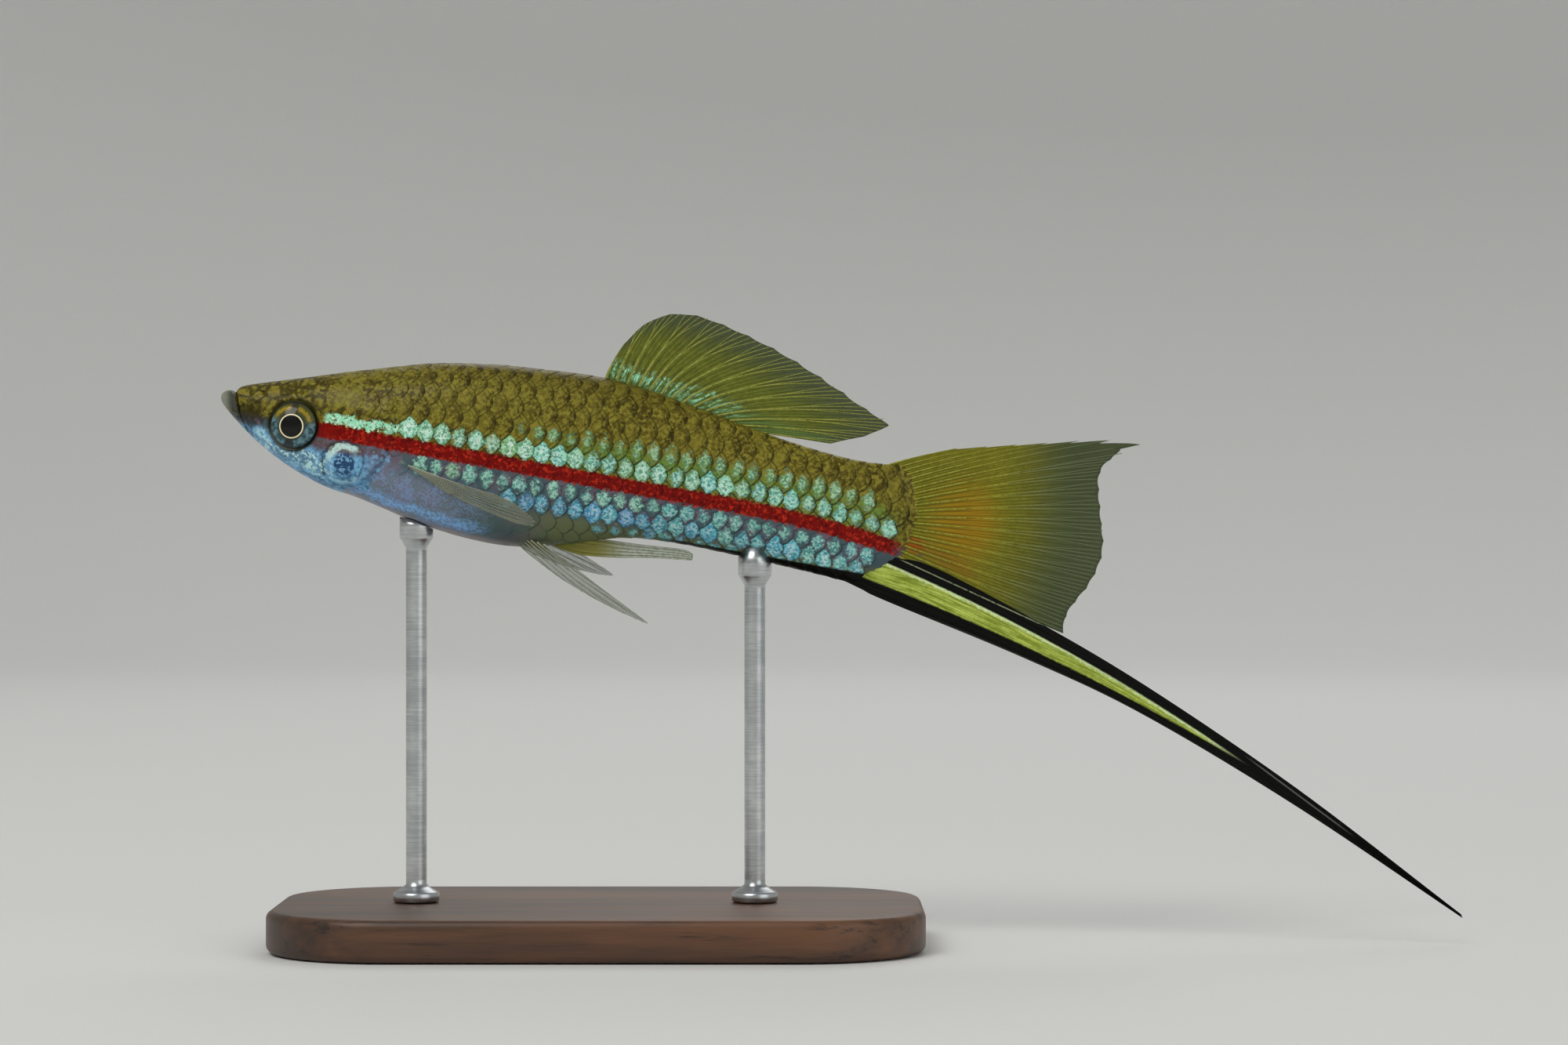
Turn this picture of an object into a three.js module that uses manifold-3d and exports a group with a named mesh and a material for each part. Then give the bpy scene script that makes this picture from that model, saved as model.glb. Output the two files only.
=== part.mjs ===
// A male green swordtail at life size, swimming with its head up, held by two rods over a flat base.
// Millimetres, +Z up. +X runs from snout to tail, and the fish's left side faces -Y.
// The origin is the centre of the base's underside.
// The fish is shaped in its own frame, with x back from the lower jaw's tip and z up from its axis,
// and the whole of it is then pitched about Y.

import * as THREE from "three";
import { mergeVertices } from "three/addons/utils/BufferGeometryUtils.js";
import Module from "manifold-3d";

const wasm = await Module();
wasm.setup();

// Driving dimensions
const PITCH = THREE.MathUtils.degToRad(10); // snout above tail root
const GAP = 0.3; // between neighbouring pieces
const MEMBRANE = 0.5; // thickness of a fin between its rays

// Outlines of the body in side view as [x, z], and of half its width as [x, y]
const BACK = [
  [0, 0.05], [0.12, 0.45], [0.5, 0.76], [1, 0.86], [1.35, 0.76], [1.6, 1.15], [2, 1.48],
  [4, 2.15], [8, 3.38], [12, 4.62], [16, 5.78], [20, 6.85], [25, 7.6], [30, 7.98], [35.5, 8.2],
  [40, 7.82], [45, 6.95], [50, 6], [55, 5.18], [60, 4.65], [63, 4.68], [65.5, 5.1], [69, 6.9],
];
const BELLY = [
  [0, -0.05], [0.12, -0.4], [0.5, -0.9], [1, -1.34], [2, -2.15], [4, -3.6], [7, -5.25],
  [10, -6.42], [12, -6.95], [14, -7.2], [17, -7.85], [20, -8.55], [25, -9.28], [30, -9.3],
  [35.5, -8.1], [40, -6.72], [45, -6.32], [50, -6.42], [55, -6.64], [60, -6.95], [63, -7.3],
  [65.5, -8.05], [69, -8.7],
];
const HALF_WIDTH = [
  [0, 0.05], [0.12, 0.8], [0.5, 1.25], [1, 1.66], [2, 2.12], [4, 2.72], [8, 3.5], [12, 4.02],
  [17, 4.48], [22, 4.65], [28, 4.55], [36, 4.05], [45, 3.2], [54, 2.4], [60, 1.85], [63, 1.45],
  [65.5, 0.9], [67.5, 0.5], [69, 0.45],
];
// Height of the widest line, as a share of the depth from belly to back
const WIDEST = [[0, 0.5], [3, 0.46], [8, 0.42], [17, 0.43], [36, 0.46], [69, 0.48]];
// Squareness of the section above and below that line, where 2 is an ellipse
const SQUARE_ABOVE = [[0, 2.1], [4, 2.6], [10, 2.5], [17, 2.15], [36, 2.05], [69, 1.9]];
const SQUARE_BELOW = [[0, 2.1], [6, 2.2], [14, 2.3], [26, 2.35], [38, 1.9], [69, 1.9]];
const BODY_END = 69;
const SECTION_SIDES = 32;
const RING_STEPS = [[0.5, 0.14], [2.4, 0.3], [17.6, 0.8], [48, 2.4], [BODY_END, 1.9]]; // up to x, by steps of

const EYE = { x: 7.7, y: 2.8, z: -1.5, radius: 2.45, depth: 1.5 };
const EYE_TURN = THREE.MathUtils.degToRad(9); // of each eye towards the snout
const ORBIT_RIM = { radius: 2.75, tube: 0.34, lift: 0.45 }; // lift is out from the eye's middle
const NOSTRILS = [{ x: 3.1, z: 0.85, radius: 0.26 }, { x: 4.25, z: 1.05, radius: 0.34 }];
const LIP_TUBE = 0.36;

// Cuts that part the body, as [x, z] lines across it
const MOUTH_LINE = [[1.3, 2], [1.38, 0.95], [1.72, 0.1], [2.15, -0.9], [2.7, -1.9], [4.3, -4.4]];
const GILL_LINE = [
  [16.3, 10], [16.6, 4], [17, 1], [17.05, -1], [16.6, -3.2], [15.6, -5], [14.2, -6.3], [12.6, -7.4],
  [11.5, -9],
];
const TAIL_ROOT_LINE = [[50.4, 10], [50.4, -10]];
const FIN_ROOT_LINE = [
  [64.2, 8], [64.9, 5], [66.3, 3], [67, 0.6], [66.8, -1.8], [66.1, -3.7], [65, -5.1], [63.2, -6.3],
  [61.4, -7.1], [59.5, -8.5],
];
const GILL_COVER = [[11.7, 0.5], [14, 1], [19, 1.2], [19, -8.5], [13.4, -7.6], [10.9, -5.2], [11.6, -3.8]];
const GILL_COVER_DEPTH = 2.3; // from the middle plane to the cover's inner face
const GILL_RISE = 0.3; // of the cover's rear edge above the trunk

const ROOT_DEPTH = 1.1; // of the dorsal rays' roots below the back
const DORSAL = {
  rays: 12,
  rootFrom: 35.9,
  rootTo: 49.7,
  margin: [[37.1, 11.7], [39.3, 14.4], [43.2, 15.6], [50.2, 14.1], [56.5, 11.7], [63.4, 8.4]],
  rearTips: [[61.3, 6.95], [58.3, 5.72]],
  bend: [0.25, 0.55],
  bow: 0.5,
};
const CAUDAL = {
  upperRays: 7,
  upperMargin: [[70.2, 7.35], [77.4, 9.1], [84.1, 10.6], [87.4, 10.75]],
  rearRays: 12,
  rearMargin: [[84.9, 8.9], [84.1, 7.2], [84.8, 3.8], [85.65, 0.2], [85, -3], [83.4, -6.2], [83.3, -8.3]],
  root: [[63.4, 4.3], [65.6, 1.5], [65.7, -1], [65, -3.3]],
  bend: [0.4, 0.5],
  bow: 0.4,
};
const SWORD = {
  rays: 6,
  top: [[60, -3.6], [66, -3.95], [70, -4.25], [80, -7.4], [92, -11.9], [108, -19.1], [125.4, -28.15]],
  bottom: [[60, -7], [63.5, -7.5], [66, -8.2], [80, -11.3], [92, -14.6], [108, -20.7], [125.6, -28.5]],
  bow: 0.5,
};
const GONOPODIUM = {
  rays: 5,
  top: [[33, -7.5], [38, -7.1], [42, -6.95], [46, -6.72], [47.1, -6.98]],
  bottom: [[33, -8.3], [35, -8.8], [37, -8.92], [40, -8.6], [43, -8.1], [47.1, -7.6]],
};
// Paired fins are drawn flat in [a, b], where a runs back along the fin from its root and b across it.
// Angles are in degrees: droop below level, spread away from the body, and roll of the upper edge outwards.
const PECTORAL = {
  root: [[-0.9, 0.62], [-0.9, -0.62]],
  tips: smoothLine([[8.7, 1.95], [11, 1.25], [12.4, -0.4], [12.3, -1.7], [10.6, -2.2]], 10),
  bend: [0.5, 0.5],
  notch: 0.03,
  bow: 0.3,
  at: [20.1, 4.3, -3.9],
  left: { droop: 10, spread: 16, roll: 58, length: 1 },
  right: { droop: 12, spread: 20, roll: 58, length: 1 },
};
const PELVIC = {
  root: [[-1.9, -0.75], [2, 0.95]],
  tips: [[1.4, -1.45], [5, -1.6], [8.8, -1.4], [11.9, -1.05], [14.4, -0.45], [9.6, 0.3], [5.6, 0.85]],
  bend: [0.4, 0.6],
  notch: 0.02,
  bow: 0.25,
  at: [31, 1.7, -8.3],
  left: { droop: 23, spread: 8, roll: 42, length: 1 },
  right: { droop: 8, spread: 48, roll: 25, length: 0.88 },
};

const BASE = { length: 62, width: 38, height: 4, corner: 12, bevel: 0.8 };
const ROD = { radius: 1, collarRadius: 2.2, collarHeight: 1.4, cradleRadius: 1.6, cradleHeight: 1.6 };
const ROD_PLACES = { front: 20.5, rear: 53 }; // along the fish
const TIP_CLEARANCE = 2.5; // from the sword's tip to the surface that the base stands on

const COLOURS = {
  head: 0x77702f,
  jaw: 0x6b6558,
  cheek: 0x8fa9bc,
  eye: 0x10130f,
  trunk: 0x6f6a2c,
  peduncle: 0x5f9c8a,
  fin: 0x8a8a2c,
  clearFin: 0xa9a98c,
  sword: 0xb7cf4d,
  stand: 0x22242a,
  rod: 0xb4b6b8,
};

// Reads a smooth line through [x, value] points at one x, with slopes from the neighbouring points.
function along(points, x) {
  const last = points.length - 1;
  if (x <= points[0][0]) return points[0][1];
  if (x >= points[last][0]) return points[last][1];
  let i = 0;
  while (points[i + 1][0] < x) i += 1;
  const slope = (k) => {
    const from = points[Math.max(0, k - 1)];
    const to = points[Math.min(last, k + 1)];
    return (to[1] - from[1]) / (to[0] - from[0]);
  };
  const [x0, y0] = points[i];
  const [x1, y1] = points[i + 1];
  const span = x1 - x0;
  const t = (x - x0) / span;
  const t2 = t * t;
  const t3 = t2 * t;
  return (2 * t3 - 3 * t2 + 1) * y0 + (t3 - 2 * t2 + t) * span * slope(i)
    + (3 * t2 - 2 * t3) * y1 + (t3 - t2) * span * slope(i + 1);
}

const lerp = THREE.MathUtils.lerp;
const smooth = THREE.MathUtils.smoothstep;
const signedPower = (value, power) => Math.sign(value) * Math.abs(value) ** power;

// A closed solid from a geometry.
function solidOf(geometry) {
  const bare = geometry.clone();
  bare.deleteAttribute("normal");
  bare.deleteAttribute("uv");
  const merged = mergeVertices(bare, 1e-4);
  return new wasm.Manifold(new wasm.Mesh({
    numProp: 3,
    vertProperties: merged.attributes.position.array,
    triVerts: new Uint32Array(merged.index.array),
  }));
}

// The largest closed piece of a solid.
const largest = (solid) => solid.decompose().sort((a, b) => b.volume() - a.volume())[0];

// A mesh in the solid's own place, with its own colour.
function meshOf(name, solid, colour, roughness = 0.35, metalness = 0) {
  const made = largest(solid).getMesh();
  const positions = new Float32Array(made.numVert * 3);
  for (let i = 0; i < made.numVert; i += 1) {
    for (let k = 0; k < 3; k += 1) positions[3 * i + k] = made.vertProperties[made.numProp * i + k];
  }
  const geometry = new THREE.BufferGeometry();
  geometry.setAttribute("position", new THREE.BufferAttribute(positions, 3));
  geometry.setIndex(new THREE.BufferAttribute(new Uint32Array(made.triVerts), 1));
  geometry.computeVertexNormals();
  const mesh = new THREE.Mesh(geometry, new THREE.MeshStandardMaterial({ color: colour, roughness, metalness }));
  mesh.name = name;
  return mesh;
}

function geometryOf(points, faces) {
  const geometry = new THREE.BufferGeometry();
  geometry.setAttribute("position", new THREE.Float32BufferAttribute(points.flat(), 3));
  geometry.setIndex(faces.flat());
  return geometry;
}

// x of the gill cover's rear edge at a height, read from the cut that frees it.
function gillEdge(z) {
  const fromBelow = GILL_LINE.map(([x, height]) => [height, x]).reverse();
  return along(fromBelow, z);
}

// How far the side stands out over the plain section: the gill cover rises towards its rear edge.
function relief(x, z) {
  const cover = smooth(x, 10.5, 14) * (1 - smooth(x, gillEdge(z) - 0.1, gillEdge(z) + 0.35));
  return GILL_RISE * cover * smooth(-z, -3, -0.5);
}

// One point of the skin. The angle runs from the back, 0, over the left side to the belly, and on up the right.
function skinPoint(x, angle, swell) {
  const back = along(BACK, x);
  const belly = along(BELLY, x);
  const widest = lerp(belly, back, along(WIDEST, x));
  const upper = Math.cos(angle) > 0;
  const power = 2 / along(upper ? SQUARE_ABOVE : SQUARE_BELOW, x);
  const reach = (upper ? back - widest : widest - belly) + swell;
  const z = widest + reach * signedPower(Math.cos(angle), power);
  const side = signedPower(Math.sin(angle), power);
  return [x, -side * (along(HALF_WIDTH, x) + swell + relief(x, z) * Math.abs(side)), z];
}

// The whole body from jaw to tail as one closed skin, pushed out by swell.
function bodyGeometry(swell = 0) {
  const rings = [];
  let x = 0.06;
  for (const [end, step] of RING_STEPS) {
    for (; x < end; x += step) rings.push(x);
  }
  const points = [[-swell, 0, 0]];
  for (const ringX of rings) {
    for (let j = 0; j < SECTION_SIDES; j += 1) {
      points.push(skinPoint(ringX, (2 * Math.PI * j) / SECTION_SIDES, swell));
    }
  }
  points.push([rings.at(-1), 0, -1]);
  const at = (ring, j) => 1 + ring * SECTION_SIDES + (j % SECTION_SIDES);
  const faces = [];
  for (let j = 0; j < SECTION_SIDES; j += 1) {
    faces.push([0, at(0, j + 1), at(0, j)]);
    for (let ring = 0; ring + 1 < rings.length; ring += 1) {
      faces.push([at(ring, j), at(ring, j + 1), at(ring + 1, j + 1)]);
      faces.push([at(ring, j), at(ring + 1, j + 1), at(ring + 1, j)]);
    }
    faces.push([points.length - 1, at(rings.length - 1, j), at(rings.length - 1, j + 1)]);
  }
  return geometryOf(points, faces);
}

// A prism across the fish: an outline in side view, from one y to another.
function sidePrism(outline, fromY, toY) {
  const shape = new THREE.Shape(outline.map(([x, z]) => new THREE.Vector2(x, z)));
  const geometry = new THREE.ExtrudeGeometry(shape, { depth: toY - fromY, bevelEnabled: false });
  geometry.rotateX(Math.PI / 2);
  geometry.translate(0, toY, 0);
  return solidOf(geometry);
}

// Points along a smooth line through [x, z] points.
function smoothLine(points, count) {
  return new THREE.SplineCurve(points.map(([x, z]) => new THREE.Vector2(x, z)))
    .getSpacedPoints(count)
    .map((p) => [p.x, p.y]);
}

// Moves each point of an open line sideways.
function offsetLine(line, distance) {
  return line.map(([x, z], i) => {
    const [x0, z0] = line[Math.max(0, i - 1)];
    const [x1, z1] = line[Math.min(line.length - 1, i + 1)];
    const length = Math.hypot(x1 - x0, z1 - z0);
    return [x - ((z1 - z0) / length) * distance, z + ((x1 - x0) / length) * distance];
  });
}

// Parts a solid along a line in side view and returns the two largest pieces, front one first.
function partAlong(solid, line) {
  const blade = [...offsetLine(line, GAP / 2), ...offsetLine(line, -GAP / 2).reverse()];
  return solid
    .subtract(sidePrism(blade, -30, 30))
    .decompose()
    .sort((a, b) => b.volume() - a.volume())
    .slice(0, 2)
    .sort((a, b) => a.boundingBox().min[0] - b.boundingBox().min[0]);
}

// A round bar through points, closed at both ends.
function bar(points, radius, steps, sides = 8) {
  const path = new THREE.CatmullRomCurve3(points.map((p) => new THREE.Vector3(...p)));
  const section = new THREE.Shape();
  for (let i = 0; i < sides; i += 1) {
    const angle = (2 * Math.PI * i) / sides;
    const corner = [radius * Math.cos(angle), radius * Math.sin(angle)];
    if (i) section.lineTo(...corner);
    else section.moveTo(...corner);
  }
  return solidOf(new THREE.ExtrudeGeometry(section, { steps, extrudePath: path }));
}

// A fin as a closed sheet in [a, b] with its rays standing up as ridges on both faces.
// Each ray is a function of v, 0 at its root and 1 at its tip, and the web between two rays ends a little short.
// ridge and web give half the thickness at v. place carries [a, b, h] to the fish, and bow bends the sheet in h.
function finGeometry({ rays, rows, ridge, web, notch = 0.03, bow = () => 0, place }) {
  const columns = 2 * rays.length - 1;
  const centre = (column, v) => {
    const ray = column >> 1;
    if (column % 2 === 0) return rays[ray](v);
    const near = rays[ray](v * (1 - notch));
    const far = rays[ray + 1](v * (1 - notch));
    return [(near[0] + far[0]) / 2, (near[1] + far[1]) / 2];
  };
  const points = [];
  for (const side of [1, -1]) {
    for (let column = 0; column < columns; column += 1) {
      for (let row = 0; row <= rows; row += 1) {
        const v = row / rows;
        const [a, b] = centre(column, v);
        const half = (column % 2 === 0 ? ridge : web)(v);
        points.push(place(a, b, bow(a, b) + side * half));
      }
    }
  }
  const at = (side, column, row) => (side * columns + column) * (rows + 1) + row;
  const faces = [];
  for (let column = 0; column + 1 < columns; column += 1) {
    for (let row = 0; row < rows; row += 1) {
      const front = [at(0, column, row), at(0, column + 1, row), at(0, column + 1, row + 1), at(0, column, row + 1)];
      const rear = [at(1, column, row), at(1, column + 1, row), at(1, column + 1, row + 1), at(1, column, row + 1)];
      faces.push([front[0], front[2], front[1]], [front[0], front[3], front[2]]);
      faces.push([rear[0], rear[1], rear[2]], [rear[0], rear[2], rear[3]]);
    }
  }
  const border = [];
  for (let column = 0; column < columns; column += 1) border.push([column, 0]);
  for (let row = 1; row <= rows; row += 1) border.push([columns - 1, row]);
  for (let column = columns - 2; column >= 0; column -= 1) border.push([column, rows]);
  for (let row = rows - 1; row > 0; row -= 1) border.push([0, row]);
  border.forEach(([column, row], i) => {
    const [nextColumn, nextRow] = border[(i + 1) % border.length];
    const corners = [at(0, column, row), at(0, nextColumn, nextRow), at(1, nextColumn, nextRow), at(1, column, row)];
    faces.push([corners[0], corners[1], corners[2]], [corners[0], corners[2], corners[3]]);
  });
  return geometryOf(points, faces);
}

// A fin's closed solid, whichever way its outline runs.
function finSolid(description) {
  const geometry = finGeometry(description);
  const solid = solidOf(geometry);
  if (solid.volume() > 0) return solid;
  const index = geometry.index.array;
  for (let i = 0; i < index.length; i += 3) [index[i + 1], index[i + 2]] = [index[i + 2], index[i + 1]];
  return solidOf(geometry);
}

// A fin ray in [a, b]. It bends at a share of the way along and across from root to tip.
function bentRay(root, tip, [along, across]) {
  const bend = [lerp(root[0], tip[0], along), lerp(root[1], tip[1], across)];
  return (v) => [0, 1].map((k) => (1 - v) ** 2 * root[k] + 2 * v * (1 - v) * bend[k] + v * v * tip[k]);
}

const body = solidOf(bodyGeometry());
const clearOfBody = solidOf(bodyGeometry(GAP));

// Sets a shape made round the Y axis in the place of one eye.
function atEye(geometry, side) {
  geometry.rotateZ(side * EYE_TURN);
  geometry.translate(EYE.x, side * EYE.y, EYE.z);
  return solidOf(geometry);
}

function eyeSolid(side, swell) {
  const geometry = new THREE.SphereGeometry(1, 24, 14);
  geometry.rotateX(Math.PI / 2);
  geometry.scale(EYE.radius + swell, EYE.depth + swell, EYE.radius + swell);
  return atEye(geometry, side);
}

function nostrilSolid({ x, z, radius }, side) {
  const angle = Math.acos(THREE.MathUtils.clamp((z - (-0.3)) / (along(BACK, x) + 0.3), -1, 1));
  const [, y] = skinPoint(x, angle, 0);
  const geometry = new THREE.SphereGeometry(radius, 10, 8);
  geometry.translate(x, side * Math.abs(y), z);
  return solidOf(geometry);
}

// The head whole, with its orbit rims and lips raised and its sockets and nostrils sunk
function dressedBody() {
  let made = body;
  for (const side of [-1, 1]) {
    const rim = new THREE.TorusGeometry(ORBIT_RIM.radius, ORBIT_RIM.tube, 6, 28);
    rim.rotateX(Math.PI / 2);
    rim.translate(0, side * ORBIT_RIM.lift, 0);
    made = made.add(atEye(rim, side));
  }
  const upperLip = [[2.35, -2.05, -0.75], [2, -1.75, 0.35], [1.8, -0.9, 0.98], [1.72, 0, 1.1],
    [1.8, 0.9, 0.98], [2, 1.75, 0.35], [2.35, 2.05, -0.75]];
  const lowerLip = [[1.65, -1.85, -0.75], [1, -1.4, -0.05], [0.62, -0.75, 0.36], [0.5, 0, 0.46],
    [0.62, 0.75, 0.36], [1, 1.4, -0.05], [1.65, 1.85, -0.75]];
  made = made.add(bar(upperLip, LIP_TUBE, 16)).add(bar(lowerLip, LIP_TUBE, 16));
  for (const side of [-1, 1]) {
    made = made.subtract(eyeSolid(side, GAP));
    for (const nostril of NOSTRILS) made = made.subtract(nostrilSolid(nostril, side));
  }
  return made;
}

const [fore, rest] = partAlong(dressedBody(), smoothLine(GILL_LINE, 24));
const [lowerJaw, skull] = partAlong(fore, smoothLine(MOUTH_LINE, 12));
const [trunk, tailPart] = partAlong(rest, TAIL_ROOT_LINE);
const finRootLine = smoothLine(FIN_ROOT_LINE, 22);
const [peduncle] = partAlong(tailPart, finRootLine);

// The caudal fin and sword begin behind this line.
const behindRoot = sidePrism(
  [...offsetLine(finRootLine, GAP / 2), [59.5, -60], [140, -60], [140, 30], [64.2, 30]], -8, 8,
);

// Gill covers are plates cut from the sides of the head
const mirrored = (solid) => solid.mirror([0, 1, 0]);
const coverOutline = [...GILL_COVER, GILL_COVER[0]];
const coverPocket = sidePrism(offsetLine(coverOutline, GAP / 2).slice(0, -1), GILL_COVER_DEPTH - GAP, 9);
const coverPlate = sidePrism(offsetLine(coverOutline, -GAP / 2).slice(0, -1), GILL_COVER_DEPTH, 9);
const head = skull.subtract(coverPocket).subtract(mirrored(coverPocket));

// Rays fan from a root line to a margin line
function fan(root, margin, bend) {
  return margin.map((tip, i) => bentRay(root[i], tip, bend));
}

// Rays run side by side between an upper and a lower line
function lanes(top, bottom, count) {
  const upper = new THREE.SplineCurve(top.map((p) => new THREE.Vector2(...p)));
  const lower = new THREE.SplineCurve(bottom.map((p) => new THREE.Vector2(...p)));
  return Array.from({ length: count }, (_, i) => (v) => {
    const point = upper.getPointAt(v).lerp(lower.getPointAt(v), i / (count - 1));
    return [point.x, point.y];
  });
}

const thickness = (root, tip) => (v) => lerp(root, tip, v) / 2;
const upright = (a, b, h) => [a, h, b];

function dorsalFin() {
  const tips = [...smoothLine(DORSAL.margin, DORSAL.rays - 1), ...DORSAL.rearTips];
  const roots = tips.map((_, i) => {
    const x = lerp(DORSAL.rootFrom, DORSAL.rootTo, i / (tips.length - 1));
    return [x, along(BACK, x) - ROOT_DEPTH];
  });
  return finSolid({
    rays: fan(roots, tips, DORSAL.bend),
    rows: 7,
    ridge: thickness(0.95, 0.6),
    web: thickness(0.55, MEMBRANE),
    bow: (a, b) => DORSAL.bow * Math.sin((b - 6) / 5) * smooth(b, 6, 12),
    place: upright,
  }).subtract(clearOfBody);
}

const sword = finSolid({
  rays: lanes(SWORD.top, SWORD.bottom, SWORD.rays),
  rows: 26,
  ridge: thickness(1.1, 0.6),
  web: thickness(0.8, MEMBRANE),
  notch: 0,
  bow: (a) => SWORD.bow * Math.sin((a - 66) / 19),
  place: upright,
}).intersect(behindRoot);

function caudalFin() {
  const tips = [
    ...smoothLine(CAUDAL.upperMargin, CAUDAL.upperRays - 1),
    ...smoothLine(CAUDAL.rearMargin, CAUDAL.rearRays - 1),
  ];
  const edge = offsetLine(smoothLine(SWORD.top, 30), GAP);
  const swordSide = sidePrism([...edge, [130, -60], [60, -60]], -8, 8);
  return finSolid({
    rays: fan(smoothLine(CAUDAL.root, tips.length - 1), tips, CAUDAL.bend),
    rows: 8,
    ridge: thickness(0.95, 0.6),
    web: thickness(0.7, MEMBRANE),
    bow: (a, b) => CAUDAL.bow * Math.sin(b / 2.6 + a / 7) * smooth(a, 67, 80),
    place: upright,
  }).intersect(behindRoot).subtract(swordSide);
}

const gonopodium = finSolid({
  rays: lanes(GONOPODIUM.top, GONOPODIUM.bottom, GONOPODIUM.rays),
  rows: 9,
  ridge: thickness(1.2, 0.8),
  web: thickness(0.9, MEMBRANE),
  place: upright,
}).subtract(clearOfBody);

// Carries a paired fin's [a, b, h] to its side of the fish: side -1 is left, +1 right.
function pairedPlace({ at, droop, spread, roll }, side) {
  const [down, out, lean] = [droop, spread, roll].map(THREE.MathUtils.degToRad);
  const backward = new THREE.Vector3(
    Math.cos(down) * Math.cos(out), side * Math.cos(down) * Math.sin(out), -Math.sin(down),
  );
  const outward = new THREE.Vector3(-Math.sin(out), side * Math.cos(out), 0);
  const upward = new THREE.Vector3().crossVectors(backward, outward).multiplyScalar(side);
  const across = upward.clone().multiplyScalar(Math.cos(lean)).addScaledVector(outward, Math.sin(lean));
  const normal = new THREE.Vector3().crossVectors(backward, across);
  const origin = new THREE.Vector3(at[0], side * at[1], at[2]);
  return (a, b, h) => origin.clone()
    .addScaledVector(backward, a)
    .addScaledVector(across, b)
    .addScaledVector(normal, h)
    .toArray();
}

function pairedFin(fin, pose, side) {
  const tips = fin.tips.map(([a, b]) => [a * pose.length, b]);
  return finSolid({
    rays: fan(smoothLine(fin.root, tips.length - 1), tips, fin.bend),
    rows: 6,
    ridge: thickness(0.8, MEMBRANE),
    web: thickness(0.5, 0.45),
    notch: fin.notch,
    bow: (a) => fin.bow * Math.sin(a / 4),
    place: pairedPlace({ ...fin, ...pose }, side),
  }).subtract(clearOfBody);
}

// The fish in its own frame
const fish = new THREE.Group();
fish.add(meshOf("head", head, COLOURS.head));
fish.add(meshOf("lower_jaw", lowerJaw, COLOURS.jaw));
fish.add(meshOf("gill_cover_left", skull.intersect(mirrored(coverPlate)), COLOURS.cheek));
fish.add(meshOf("gill_cover_right", skull.intersect(coverPlate), COLOURS.cheek));
fish.add(meshOf("eye_left", eyeSolid(-1, 0), COLOURS.eye, 0.1));
fish.add(meshOf("eye_right", eyeSolid(1, 0), COLOURS.eye, 0.1));
fish.add(meshOf("trunk", trunk, COLOURS.trunk));
fish.add(meshOf("tail_peduncle", peduncle, COLOURS.peduncle));
fish.add(meshOf("dorsal_fin", dorsalFin(), COLOURS.fin));
fish.add(meshOf("caudal_fin", caudalFin(), COLOURS.fin));
fish.add(meshOf("sword", sword, COLOURS.sword));
fish.add(meshOf("gonopodium", gonopodium, COLOURS.clearFin));
fish.add(meshOf("pectoral_fin_left", pairedFin(PECTORAL, PECTORAL.left, -1), COLOURS.clearFin));
fish.add(meshOf("pectoral_fin_right", pairedFin(PECTORAL, PECTORAL.right, 1), COLOURS.clearFin));
fish.add(meshOf("pelvic_fin_left", pairedFin(PELVIC, PELVIC.left, -1), COLOURS.clearFin));
fish.add(meshOf("pelvic_fin_right", pairedFin(PELVIC, PELVIC.right, 1), COLOURS.clearFin));

// A point of the fish's own frame, carried to the frame of the stand.
const swordTip = SWORD.bottom.at(-1);
const pitched = ([x, z]) => [
  x * Math.cos(PITCH) + z * Math.sin(PITCH), z * Math.cos(PITCH) - x * Math.sin(PITCH),
];
const rise = TIP_CLEARANCE - pitched(swordTip)[1];
const shift = -(pitched([ROD_PLACES.front, 0])[0] + pitched([ROD_PLACES.rear, 0])[0]) / 2;
fish.rotation.y = PITCH;
fish.position.set(shift, 0, rise);

// The base is a rounded plate with a softened edge
function standBase() {
  const { length, width, height, corner, bevel } = BASE;
  const [halfLength, halfWidth, radius] = [length / 2 - bevel, width / 2 - bevel, corner - bevel];
  const outline = new THREE.Shape();
  outline.absarc(halfLength - radius, halfWidth - radius, radius, 0, Math.PI / 2);
  outline.absarc(radius - halfLength, halfWidth - radius, radius, Math.PI / 2, Math.PI);
  outline.absarc(radius - halfLength, radius - halfWidth, radius, Math.PI, 1.5 * Math.PI);
  outline.absarc(halfLength - radius, radius - halfWidth, radius, 1.5 * Math.PI, 2 * Math.PI);
  const geometry = new THREE.ExtrudeGeometry(outline, {
    depth: height - 2 * bevel, curveSegments: 6, bevelThickness: bevel, bevelSize: bevel, bevelSegments: 2,
  });
  geometry.translate(0, 0, bevel);
  return solidOf(geometry);
}

// A rod stands on the base in a collar, and widens under the body that it holds
function standRod(fishX) {
  const [x, under] = pitched([fishX, along(BELLY, fishX)]);
  const foot = BASE.height + GAP;
  const top = under + rise;
  const geometry = new THREE.LatheGeometry([
    [0, foot], [ROD.collarRadius, foot], [ROD.collarRadius, foot + ROD.collarHeight * 0.7],
    [ROD.radius + 0.3, foot + ROD.collarHeight], [ROD.radius, foot + ROD.collarHeight + 0.2],
    [ROD.radius, top - ROD.cradleHeight - 0.6], [ROD.cradleRadius, top - ROD.cradleHeight],
    [ROD.cradleRadius, top + 1.2], [0, top + 1.2],
  ].map(([radius, height]) => new THREE.Vector2(radius, height)), 20);
  geometry.rotateX(Math.PI / 2);
  geometry.translate(x + shift, 0, 0);
  const fishSpace = clearOfBody.rotate([0, THREE.MathUtils.radToDeg(PITCH), 0]).translate([shift, 0, rise]);
  return solidOf(geometry).subtract(fishSpace);
}

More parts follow.
